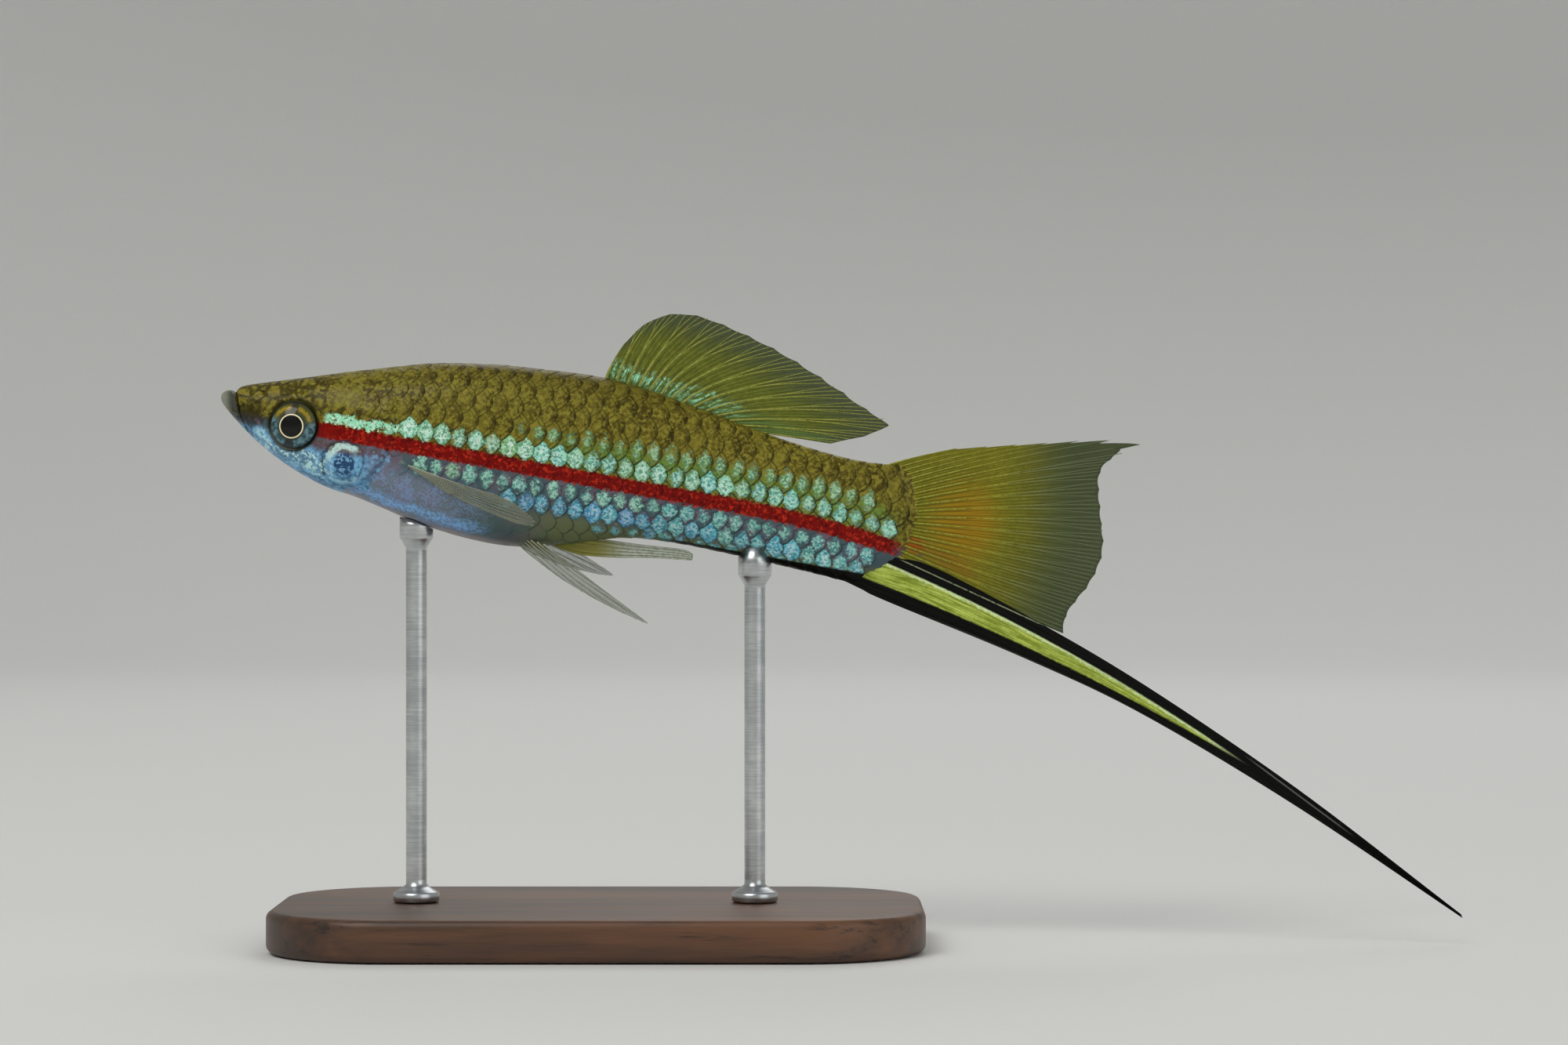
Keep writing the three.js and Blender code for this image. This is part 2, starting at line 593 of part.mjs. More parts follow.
const display = new THREE.Group();
display.add(fish);
display.add(meshOf("stand_base", standBase(), COLOURS.stand, 0.5));
display.add(meshOf("stand_rod_front", standRod(ROD_PLACES.front), COLOURS.rod, 0.25, 1));
display.add(meshOf("stand_rod_rear", standRod(ROD_PLACES.rear), COLOURS.rod, 0.25, 1));

export default display;
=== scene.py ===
# A male green swordtail, life-size, held by two rods over a flat base.
# Metres, +Z up. The fish is worked out in millimetres in a frame of its own, x back from the lower
# jaw's tip, y to its right and z up from its axis, and is then pitched and set over the base.

import bpy
import numpy as np
from math import cos, pi, radians, sin
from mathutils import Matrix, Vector


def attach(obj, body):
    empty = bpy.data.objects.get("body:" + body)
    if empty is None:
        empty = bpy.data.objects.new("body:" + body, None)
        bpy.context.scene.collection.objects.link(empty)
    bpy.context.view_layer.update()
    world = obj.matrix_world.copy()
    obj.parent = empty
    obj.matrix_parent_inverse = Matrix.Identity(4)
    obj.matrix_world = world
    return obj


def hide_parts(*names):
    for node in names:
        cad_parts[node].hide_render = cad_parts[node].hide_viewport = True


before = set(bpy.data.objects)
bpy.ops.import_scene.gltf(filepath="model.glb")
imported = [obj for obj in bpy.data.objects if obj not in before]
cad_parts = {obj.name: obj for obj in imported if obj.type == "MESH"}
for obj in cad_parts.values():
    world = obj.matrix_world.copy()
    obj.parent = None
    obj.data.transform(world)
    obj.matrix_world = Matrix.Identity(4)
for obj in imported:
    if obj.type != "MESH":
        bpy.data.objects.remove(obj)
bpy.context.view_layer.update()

# Camera and studio
# A long lens looks level at the fish's left side. The floor is one pale sheet that curves up behind.
FISH_PITCH = radians(10)
ROD_PLACES = (20.5, 53.0)
SWORD_TIP = (125.6, -28.5)
TIP_CLEARANCE = 2.5
VIEW_WIDTH = 0.150
VIEW_CENTRE = (53.85, -12.04)
LENS, SENSOR = 100.0, 36.0
FLOOR_RADIUS, COVE_RADIUS, WALL_HEIGHT, FLOOR_HEIGHT, FLOOR_SIDES = 1.3, 0.5, 1.6, -0.0001, 96
PAPER = (0.80, 0.80, 0.78)
LIT_POINT = (0.01, 0.0, 0.045)


def pitched(x, z):
    """x and z of the fish's frame, turned so that the snout points up by the pitch."""
    return x * cos(FISH_PITCH) + z * sin(FISH_PITCH), z * cos(FISH_PITCH) - x * sin(FISH_PITCH)


SHIFT = -(pitched(ROD_PLACES[0], 0)[0] + pitched(ROD_PLACES[1], 0)[0]) / 2
RISE = TIP_CLEARANCE - pitched(*SWORD_TIP)[1]


def to_scene(points):
    """Fish-frame millimetres to scene metres, for an array whose last axis is x, y, z."""
    points = np.asarray(points, dtype=float)
    x, z = pitched(points[..., 0], points[..., 2])
    return np.stack([x + SHIFT, points[..., 1], z + RISE], axis=-1) * 0.001


def grid_faces(rows, columns, wrap=False):
    """Quads over a grid of rows by columns of vertices. With wrap, the last column joins the first."""
    ends = np.arange(rows - 1), np.arange(columns if wrap else columns - 1)
    row, column = np.meshgrid(*ends, indexing="ij")
    after = (column + 1) % columns
    here, ahead = row * columns, (row + 1) * columns
    return np.stack([here + column, here + after, ahead + after, ahead + column], axis=-1).reshape(-1, 4)


def closed_tube(rows, columns):
    """Faces over rings of points, rows by columns, and a fan to each of the two end points after them."""
    here = np.arange(columns)
    after = (here + 1) % columns
    last = (rows - 1) * columns
    start = np.full(columns, rows * columns)
    corners = (start, after, here), (start + 1, last + here, last + after)
    return [grid_faces(rows, columns, wrap=True), *(np.stack(three, axis=-1) for three in corners)]


def turned(out, up, turn, middle=(0, 0)):
    """Rings of points round an upright axis: a profile's distance out and height, at each angle of turn."""
    return np.stack([middle[0] + out[:, None] * np.cos(turn), middle[1] + out[:, None] * np.sin(turn),
                     up[:, None] + 0 * turn], axis=-1)


def mesh_piece(name, points, faces, finish, closed=True, maps=None, marks=None):
    """An object from scene points and arrays of faces, each array with faces of a like number of corners. A
    closed one is turned inside out where its volume is negative. marks holds colour attributes."""
    mesh = bpy.data.meshes.new(name)
    points = np.asarray(points, dtype=float).reshape(-1, 3)
    mesh.from_pydata(points.tolist(), [], [face for group in faces for face in np.asarray(group).tolist()])
    if closed:
        mesh.calc_loop_triangles()
        corner = np.empty(3 * len(mesh.loop_triangles), dtype=np.int32)
        mesh.loop_triangles.foreach_get("vertices", corner)
        a, b, c = points[corner.reshape(-1, 3)].transpose(1, 0, 2)
        if np.sum(a * np.cross(b, c)) < 0:
            mesh.flip_normals()
    mesh.polygons.foreach_set("use_smooth", np.ones(len(mesh.polygons), dtype=bool))
    corners = np.empty(len(mesh.loops), dtype=np.int32)
    mesh.loops.foreach_get("vertex_index", corners)
    for title, values in (maps or {}).items():
        at_corners = np.asarray(values, dtype=np.float32)[corners]
        mesh.uv_layers.new(name=title).data.foreach_set("uv", at_corners.ravel())
    for title, values in (marks or {}).items():
        layer = mesh.attributes.new(title, "FLOAT_COLOR", "POINT")
        layer.data.foreach_set("color", np.asarray(values, dtype=np.float32).ravel())
    mesh.update()
    piece = bpy.data.objects.new(name, mesh)
    bpy.context.scene.collection.objects.link(piece)
    mesh.materials.append(finish)
    return piece


class Wire:
    """One output socket in a material. Arithmetic on it adds Math nodes."""

    def __init__(self, tree, socket):
        self.tree = tree
        self.socket = socket

    def node(self, kind, inputs, output=0, **settings):
        """Adds a shader node, sets or links its inputs and gives one output. A ramp is set by its stops."""
        made = self.tree.nodes.new("ShaderNode" + kind)
        for key, value in settings.items():
            if key == "ramp":
                ramp = made.color_ramp
                while len(ramp.elements) < len(value):
                    ramp.elements.new(0.5)
                for element, (place, colour) in zip(ramp.elements, value):
                    element.position = place
                    element.color = (*colour, 1.0)
            else:
                setattr(made, key, value)
        for key, value in inputs.items():
            if isinstance(value, Wire):
                self.tree.links.new(value.socket, made.inputs[key])
            else:
                made.inputs[key].default_value = value
        return Wire(self.tree, made.outputs[output])

    def maths(self, operation, *others):
        """A Math node on this socket and up to two more values."""
        return self.node("Math", dict(enumerate((self, *others))), operation=operation)

    def __add__(self, other):
        return self.maths("ADD", other)

    def __sub__(self, other):
        return self.maths("SUBTRACT", other)

    def __rsub__(self, other):
        return self.node("Math", {0: other, 1: self}, operation="SUBTRACT")

    def __mul__(self, other):
        return self.maths("MULTIPLY", other)

    def __truediv__(self, other):
        return self.maths("DIVIDE", other)

    def __pow__(self, other):
        return self.maths("POWER", other)

    def __abs__(self):
        return self.maths("ABSOLUTE")

    __radd__ = __add__
    __rmul__ = __mul__

    def rise(self, low, high):
        """0 below low, 1 above high and smooth between, or falling where low is above high."""
        ends = (low, high, 0.0, 1.0) if low < high else (high, low, 1.0, 0.0)
        inputs = dict(zip(("Value", "From Min", "From Max", "To Min", "To Max"), (self, *ends)))
        return self.node("MapRange", inputs, interpolation_type="SMOOTHSTEP")

    def band(self, low, high, soft):
        """1 between low and high, with soft edges."""
        return self.rise(low - soft, low + soft) * self.rise(high + soft, high - soft)

    def tint(self, base, colour):
        """Mixes from a base colour to another by this mask. Either may be a triple or a wire."""
        ends = [end if isinstance(end, Wire) else (*end, 1.0) for end in (base, colour)]
        inputs = {"Factor": self, 6: ends[0], 7: ends[1]}
        return self.node("Mix", inputs, output=2, data_type="RGBA", clamp_factor=True)


def parts(vector, kind="SeparateXYZ"):
    """Wires for the three parts of a vector or, by another kind of node, of a colour."""
    return [vector.node(kind, {0: vector}, output=number) for number in range(3)]


def noise(place, scale, detail=2.0, rough=0.5, output=0):
    """Soft noise around 0.5. Its scale is in features per unit of place: a millimetre on the fish."""
    inputs = {"Vector": place, "Scale": scale, "Detail": detail, "Roughness": rough}
    return place.node("TexNoise", inputs, output)


def stretched(vector, *scales):
    """Coordinates multiplied part by part, which draws a texture out along one way."""
    return vector.node("VectorMath", {0: vector, 1: scales}, operation="MULTIPLY")


def new_finish(name):
    """A material without nodes, and a wire to start from: Object coordinates in metres."""
    finish = bpy.data.materials.new(name)
    finish.use_nodes = True
    tree = finish.node_tree
    tree.nodes.clear()
    start = Wire(tree, tree.nodes.new("ShaderNodeTexCoord").outputs["Object"])
    return finish, start


def close_finish(start, colour, roughness, bump=None, strength=0.3, depth=0.0001, alpha=None, **fixed):
    """The shader and its output. Fixed values go on the shader's own sockets, with _ for a space."""
    inputs = {"Base Color": colour if isinstance(colour, Wire) else (*colour, 1.0), "Roughness": roughness}
    if bump is not None:
        inputs["Normal"] = start.node("Bump", {"Height": bump, "Strength": strength, "Distance": depth})
    if alpha is not None:
        inputs["Alpha"] = alpha
    inputs.update({key.replace("_", " "): value for key, value in fixed.items()})
    shader = start.node("BsdfPrincipled", inputs)
    output = start.tree.nodes.new("ShaderNodeOutputMaterial")
    start.tree.links.new(shader.socket, output.inputs["Surface"])


def studio():
    """Floor and wall, a profile swept round: flat to a radius, then a quarter circle, then straight up."""
    turn = np.linspace(0, pi / 2, 16)
    cove = FLOOR_RADIUS - COVE_RADIUS + COVE_RADIUS * np.sin(turn)
    out = np.concatenate([[0.001, 0.4], cove, [FLOOR_RADIUS]])
    up = np.concatenate([[0, 0], COVE_RADIUS * (1 - np.cos(turn)), [WALL_HEIGHT]])
    around = np.linspace(0, 2 * pi, FLOOR_SIDES, endpoint=False)
    faces = [grid_faces(len(out), FLOOR_SIDES, wrap=True), [range(FLOOR_SIDES - 1, -1, -1)]]
    paper, start = new_finish("studio_paper")
    grain = noise(start, 900.0)
    close_finish(start, grain.tint(PAPER, [0.97 * part for part in PAPER]), 0.9, bump=grain, strength=0.04)
    mesh_piece("studio_floor", turned(out, up + FLOOR_HEIGHT, around), faces, paper, closed=False)


def soft_light(name, place, size, watts, colour=(1, 1, 1)):
    """A square area light that faces the fish."""
    light = bpy.data.lights.new(name, "AREA")
    light.size = size
    light.energy = watts
    light.color = colour
    lamp = bpy.data.objects.new(name, light)
    bpy.context.scene.collection.objects.link(lamp)
    lamp.location = place
    lamp.rotation_euler = (Vector(LIT_POINT) - Vector(place)).to_track_quat("-Z", "Y").to_euler()


studio()
soft_light("key_light", (-0.35, -0.55, 0.75), 0.5, 4.0, (1.0, 0.98, 0.95))
soft_light("fill_light", (0.7, -0.6, 0.35), 0.7, 1.5, (0.95, 0.98, 1.0))
soft_light("back_light", (0.15, 0.7, 0.7), 0.6, 2.0)

world = bpy.data.worlds.new("studio_air")
bpy.context.scene.world = world
world.use_nodes = True
air = world.node_tree.nodes["Background"].inputs
air["Color"].default_value = (0.9, 0.93, 0.95, 1)
air["Strength"].default_value = 0.3

bpy.context.scene.view_settings.view_transform = "Standard"

camera_data = bpy.data.cameras.new("camera")
camera_data.lens = LENS
camera_data.sensor_width = SENSOR
camera_data.clip_start = 0.01
camera = bpy.data.objects.new("camera", camera_data)
bpy.context.scene.collection.objects.link(camera)
camera.location = (
    (VIEW_CENTRE[0] + SHIFT) * 0.001, -VIEW_WIDTH * LENS / SENSOR, (VIEW_CENTRE[1] + RISE) * 0.001,
)
camera.rotation_euler = (pi / 2, 0, 0)
bpy.context.scene.camera = camera

# Body
# The real fish is one soft, scaled body. The model's is one skin, drawn round cross-sections whose height,
# width and squareness change along it. Gill covers, eye rims, lips and mouth are raised or sunk in it.
BACK = (
    (0, 0.05), (0.12, 0.45), (0.5, 0.76), (1, 0.86), (1.35, 0.76), (1.6, 1.15), (2, 1.48),
    (4, 2.15), (8, 3.38), (12, 4.62), (16, 5.78), (20, 6.85), (25, 7.6), (30, 7.98), (35.5, 8.2),
    (40, 7.82), (45, 6.95), (50, 6), (55, 5.18), (60, 4.65), (63, 4.68), (65.5, 5.1), (69, 6.9),
)
BELLY = (
    (0, -0.05), (0.12, -0.4), (0.5, -0.9), (1, -1.34), (2, -2.15), (4, -3.6), (7, -5.25),
    (10, -6.42), (12, -6.95), (14, -7.2), (17, -7.85), (20, -8.55), (25, -9.28), (30, -9.3),
    (35.5, -8.1), (40, -6.72), (45, -6.32), (50, -6.42), (55, -6.64), (60, -6.95), (63, -7.3),
    (65.5, -8.05), (69, -8.7),
)
HALF_WIDTH = (
    (0, 0.05), (0.12, 0.8), (0.5, 1.25), (1, 1.66), (2, 2.12), (4, 2.72), (8, 3.5), (12, 4.02),
    (17, 4.48), (22, 4.65), (28, 4.55), (36, 4.05), (45, 3.2), (54, 2.4), (60, 1.85), (63, 1.45),
    (65.5, 0.9), (67.5, 0.5), (69, 0.45),
)
WIDEST = ((0, 0.5), (3, 0.46), (8, 0.42), (17, 0.43), (36, 0.46), (69, 0.48))
SQUARE_ABOVE = ((0, 2.1), (4, 2.6), (10, 2.5), (17, 2.15), (36, 2.05), (69, 1.9))
SQUARE_BELOW = ((0, 2.1), (6, 2.2), (14, 2.3), (26, 2.35), (38, 1.9), (69, 1.9))
MOUTH_LINE = ((1.3, 2), (1.38, 0.95), (1.72, 0.1), (2.15, -0.9), (2.7, -1.9), (4.3, -4.4))
GILL_LINE = (
    (16.3, 10), (16.6, 4), (17, 1), (17.05, -1), (16.6, -3.2), (15.6, -5), (14.2, -6.3), (12.6, -7.4),
    (11.5, -9),
)
CHEEK_LINE = ((12.1, 0.6), (11.9, -2.6), (11.7, -3.8), (11.2, -5), (10.6, -5.4), (8, -5))
ROOT_LINE = (
    (64.2, 8), (64.9, 5), (66.3, 3), (67, 0.6), (66.8, -1.8), (66.1, -3.7), (65, -5.1), (63.2, -6.3),
    (61.4, -7.1), (59.5, -8.5),
)
EYE_PLACE, EYE_RADIUS = (7.7, 2.8, -1.5), 2.45
NOSTRILS = ((3.1, 0.85, 0.24), (4.25, 1.05, 0.3))
SKIN_DEPTH = 0.08
STATIONS, SIDES = 370, 130


def along(points, x):
    """A smooth curve through points: a cubic between each two, with slopes from their neighbours."""
    px, py = np.array(points, dtype=float).T
    slope = np.empty_like(py)
    slope[1:-1] = (py[2:] - py[:-2]) / (px[2:] - px[:-2])
    slope[0], slope[-1] = (py[1] - py[0]) / (px[1] - px[0]), (py[-1] - py[-2]) / (px[-1] - px[-2])
    x = np.clip(x, px[0], px[-1])
    i = np.clip(np.searchsorted(px, x, side="right") - 1, 0, len(px) - 2)
    span = px[i + 1] - px[i]
    t = (x - px[i]) / span
    return ((2 * t**3 - 3 * t**2 + 1) * py[i] + (t**3 - 2 * t**2 + t) * span * slope[i]
            + (3 * t**2 - 2 * t**3) * py[i + 1] + (t**3 - t**2) * span * slope[i + 1])


def ease(x, low, high):
    """0 below low, 1 above high and a smooth step between."""
    t = np.clip((x - low) / (high - low), 0, 1)
    return t * t * (3 - 2 * t)


def gap_to(line, x, z):
    """Signed distance in x from a line in side view, negative in front of it, and 1 where it runs level."""
    places = sorted((height, place) for place, height in line)
    return x - np.interp(z, *np.array(places).T)


def bump_at(distance, width):
    """A smooth ridge of height 1 where distance is 0."""
    return np.exp(-(distance / width) ** 2)


def relief(x, z):
    """How far the side stands out: gill cover and its edge, cheek groove, eye rim, lips, mouth, nostrils."""
    gill = gap_to(GILL_LINE, x, z)
    high = ease(z, 3.2, 0.8)
    cover = 0.3 * ease(x, 10.5, 14.5) * ease(gill, 0.12, -0.05) * high
    slit = -0.14 * bump_at(gill - 0.18, 0.16) * ease(z, 2.2, 0.4)
    cheek = -0.13 * bump_at(gap_to(CHEEK_LINE[:5], x, z), 0.22) * ease(z, 1.2, 0) * ease(z, -6.3, -5.2)
    ring = np.hypot(x - EYE_PLACE[0], z - EYE_PLACE[2])
    rim = 0.15 * bump_at(ring - 2.75, 0.42) - 1.7 * ease(ring, 2.48, 1.9)
    mouth = gap_to(MOUTH_LINE, x, z)
    open_part = ease(z, -4.2, -2.6)
    lips = (0.16 * bump_at(mouth - 0.32, 0.2) + 0.1 * bump_at(mouth + 0.3, 0.2)) * ease(z, -1.6, -0.6)
    cleft = -0.3 * bump_at(mouth, 0.1) * open_part
    pits = sum(-0.3 * bump_at(np.hypot(x - a, z - b), 0.8 * r) for a, b, r in NOSTRILS)
    return cover + slit + cheek + rim + lips + cleft + pits


def section(x, angle):
    """The skin at x and an angle, 0 at the back, pi at the belly: a superellipse with relief on its side."""
    back, belly = along(BACK, x), along(BELLY, x)
    widest = belly + (back - belly) * along(WIDEST, x)
    upper = np.cos(angle) > 0
    power = 2 / np.where(upper, along(SQUARE_ABOVE, x), along(SQUARE_BELOW, x))
    reach = np.where(upper, back - widest, widest - belly) - SKIN_DEPTH
    z = widest + reach * np.sign(np.cos(angle)) * np.abs(np.cos(angle)) ** power
    side = np.abs(np.sin(angle)) ** power
    y = np.maximum(along(HALF_WIDTH, x) - SKIN_DEPTH, 0.02) * side + relief(x, z) * ease(side, 0.05, 0.45)
    return np.stack([x + 0 * z, np.maximum(y, 0), z], axis=-1)


def run_along(points):
    """Distance along a line of points, or along each of several, from its first point."""
    steps = np.linalg.norm(np.diff(points, axis=-2), axis=-1)
    return np.concatenate([0 * steps[..., :1], np.cumsum(steps, axis=-1)], axis=-1)


def stations(end):
    """Places along the body, close together at the head and wider towards the tail."""
    t = np.linspace(0, 1, STATIONS)
    return 0.06 + (end - 0.06) * (0.28 * t + 0.72 * t**1.9)


def stripe_middle(x):
    """z of the red stripe's middle line, for arrays or wires: a slight slope, and a bend down behind x 50."""
    behind = x - 50 + abs(x - 50)
    return -1.5 - 0.0065 * (x - 10) - 0.0012 * behind * behind


def tones(codes):
    """Linear red, green and blue of display colours, each written as six hexadecimal digits."""
    shown = np.array([[int(code[i:i + 2], 16) for i in (0, 2, 4)] for code in codes.split()]) / 255
    linear = np.where(shown > 0.04045, ((shown + 0.055) / 1.055) ** 2.4, shown / 12.92)
    return [tuple(colour) for colour in linear.tolist()]


def fish_finish(name):
    """A new material, its starting wire, and wires for place, x and z in the fish's own millimetres."""
    finish, start = new_finish(name)
    across = RISE * sin(FISH_PITCH) - SHIFT * cos(FISH_PITCH)
    up = -SHIFT * sin(FISH_PITCH) - RISE * cos(FISH_PITCH)
    inputs = {"Location": (across, 0, up), "Rotation": (0, -FISH_PITCH, 0), "Scale": (1000, 1000, 1000)}
    place = start.node("Mapping", {"Vector": start, **inputs})
    x, _, z = parts(place)
    return finish, start, place, x, z


def flecks(place, scale, warp=0.25):
    """A random value from 0 to 1 for each of many small angular cells, bent a little by noise."""
    bend = noise(place, 2 * scale, output=1)
    bend = bend.node("VectorMath", {0: bend, "Scale": 2 * warp / scale}, operation="SCALE")
    bent = place.node("VectorMath", {0: place, 1: bend}, operation="ADD")
    return parts(place.node("TexVoronoi", {"Vector": bent, "Scale": scale}, 1))[0]


BACK_CELL, BACK_BRIGHT, BACK_DARK, BACK_NET, SHEEN = tones("6b611f 8d8431 473c12 282009 66903f")
RED, RED_BRIGHT, RED_DARK, KEEL_BLACK = tones("7e0b05 c23019 430402 0b0c07")
MINT, MINT_WHITE, MINT_DEEP = tones("9be8c0 dcfbe8 33705c")
FLANK, FLANK_OLIVE, FLANK_WARM = tones("4c5f66 6e7752 6d6470")
BELLY_SILVER, BELLY_BLUE, BELLY_EDGE, BELLY_LILAC, BELLY_GREEN = tones("74828c 8cc2fa 9a8f8b 7e788c 53665f")
SATIN = {"Coat_Weight": 0.06, "Coat_Roughness": 0.1, "Specular_IOR_Level": 0.08}


def body_colour(place, x, z, height):
    """Olive back, red stripe, blue-grey flank and silver belly, by height over the stripe's middle line."""
    soft = noise(place, 0.55, 3.0)
    fine = noise(place, 2.6, 4.0, 0.65)
    grit = noise(place, 4.6, 3.0, 0.75)
    chip = flecks(place, 3.4)
    jitter = fine - 0.5
    back = (fine * 0.6 + grit * 0.4 + chip * 0.16).rise(0.48, 0.7).tint(BACK_CELL, BACK_BRIGHT)
    back = ((fine * 0.6 + soft * 0.45 + chip * 0.12).rise(0.62, 0.44) * 0.9).tint(back, BACK_DARK)
    sheen = (height + jitter * 2).band(1.0, 3.6, 0.7) * x.rise(26, 40) * x.rise(67, 63)
    back = (sheen * (0.25 + (chip * 0.4 + grit * 0.6).rise(0.4, 0.62) * 0.6)).tint(back, SHEEN)
    back = (z.rise(5.0, 8.0) * 0.45).tint(back, BACK_DARK)
    belly = (soft * 0.6 + fine * 0.6).rise(0.5, 0.72).tint(BELLY_SILVER, BELLY_LILAC)
    belly = (x + jitter * 4).rise(22, 28).tint(belly, BELLY_GREEN)
    keel_side = z + 9.3 - (28 - x) ** 2 * 0.0105
    blue_band = (keel_side + (soft - 0.5) * 1.4).band(0.7, 1.6, 0.35) * x.band(13, 27, 1.5)
    broken = 0.2 + (grit * 0.5 + fine * 0.5 + chip * 0.1).rise(0.46, 0.62) * 0.8
    belly = (blue_band * broken).tint(belly, BELLY_BLUE)
    belly = (keel_side + (soft - 0.5) * 0.8).rise(0.75, 0.15).tint(belly, BELLY_EDGE)
    spark = (grit + soft * 0.5).rise(0.7, 0.86)
    belly = (spark * x.rise(30, 24) * 0.35).tint(belly, BELLY_BLUE)
    flank = (soft + fine * 0.3).rise(0.6, 0.8).tint(FLANK, FLANK_WARM)
    flank = (x.rise(29, 34) * (z + jitter).rise(-4.9, -6.1)).tint(flank, FLANK_OLIVE)
    lower = (x.rise(36, 23) * height.rise(-1.5, -3.6)).tint(flank, belly)
    side = (height + jitter * 0.6).rise(-0.2, 0.6).tint(lower, back)
    wave = height + (grit - 0.5) * 0.9 + jitter * 0.8
    red = (grit * 0.4 + fine * 0.4 + chip * 0.25).rise(0.54, 0.7).tint(RED, RED_BRIGHT)
    red = (fine * 0.7 + grit * 0.4).rise(0.53, 0.4).tint(red, RED_DARK)
    stripe = wave.band(-0.7, 0.74, 0.1) * (x + (grit - 0.5) * 3).band(9.6, 66.4, 0.8)
    return stripe.tint(side, red), stripe, fine, soft, grit, chip


def near(x, z, at, weights=(1, 1)):
    """Distance in side view from a point, with a weight on each square."""
    return ((x - at[0]) ** 2 * weights[0] + (z - at[1]) ** 2 * weights[1]).maths("SQRT")


def with_keel(colour, x, z):
    """The colour with the black line along the underside of the tail root."""
    line = (z + 6.42 + (x - 50) * 0.055 - (x - 42) * 0.052).rise(0.16, -0.06)
    return (x.rise(42, 46) * line).tint(colour, KEEL_BLACK)


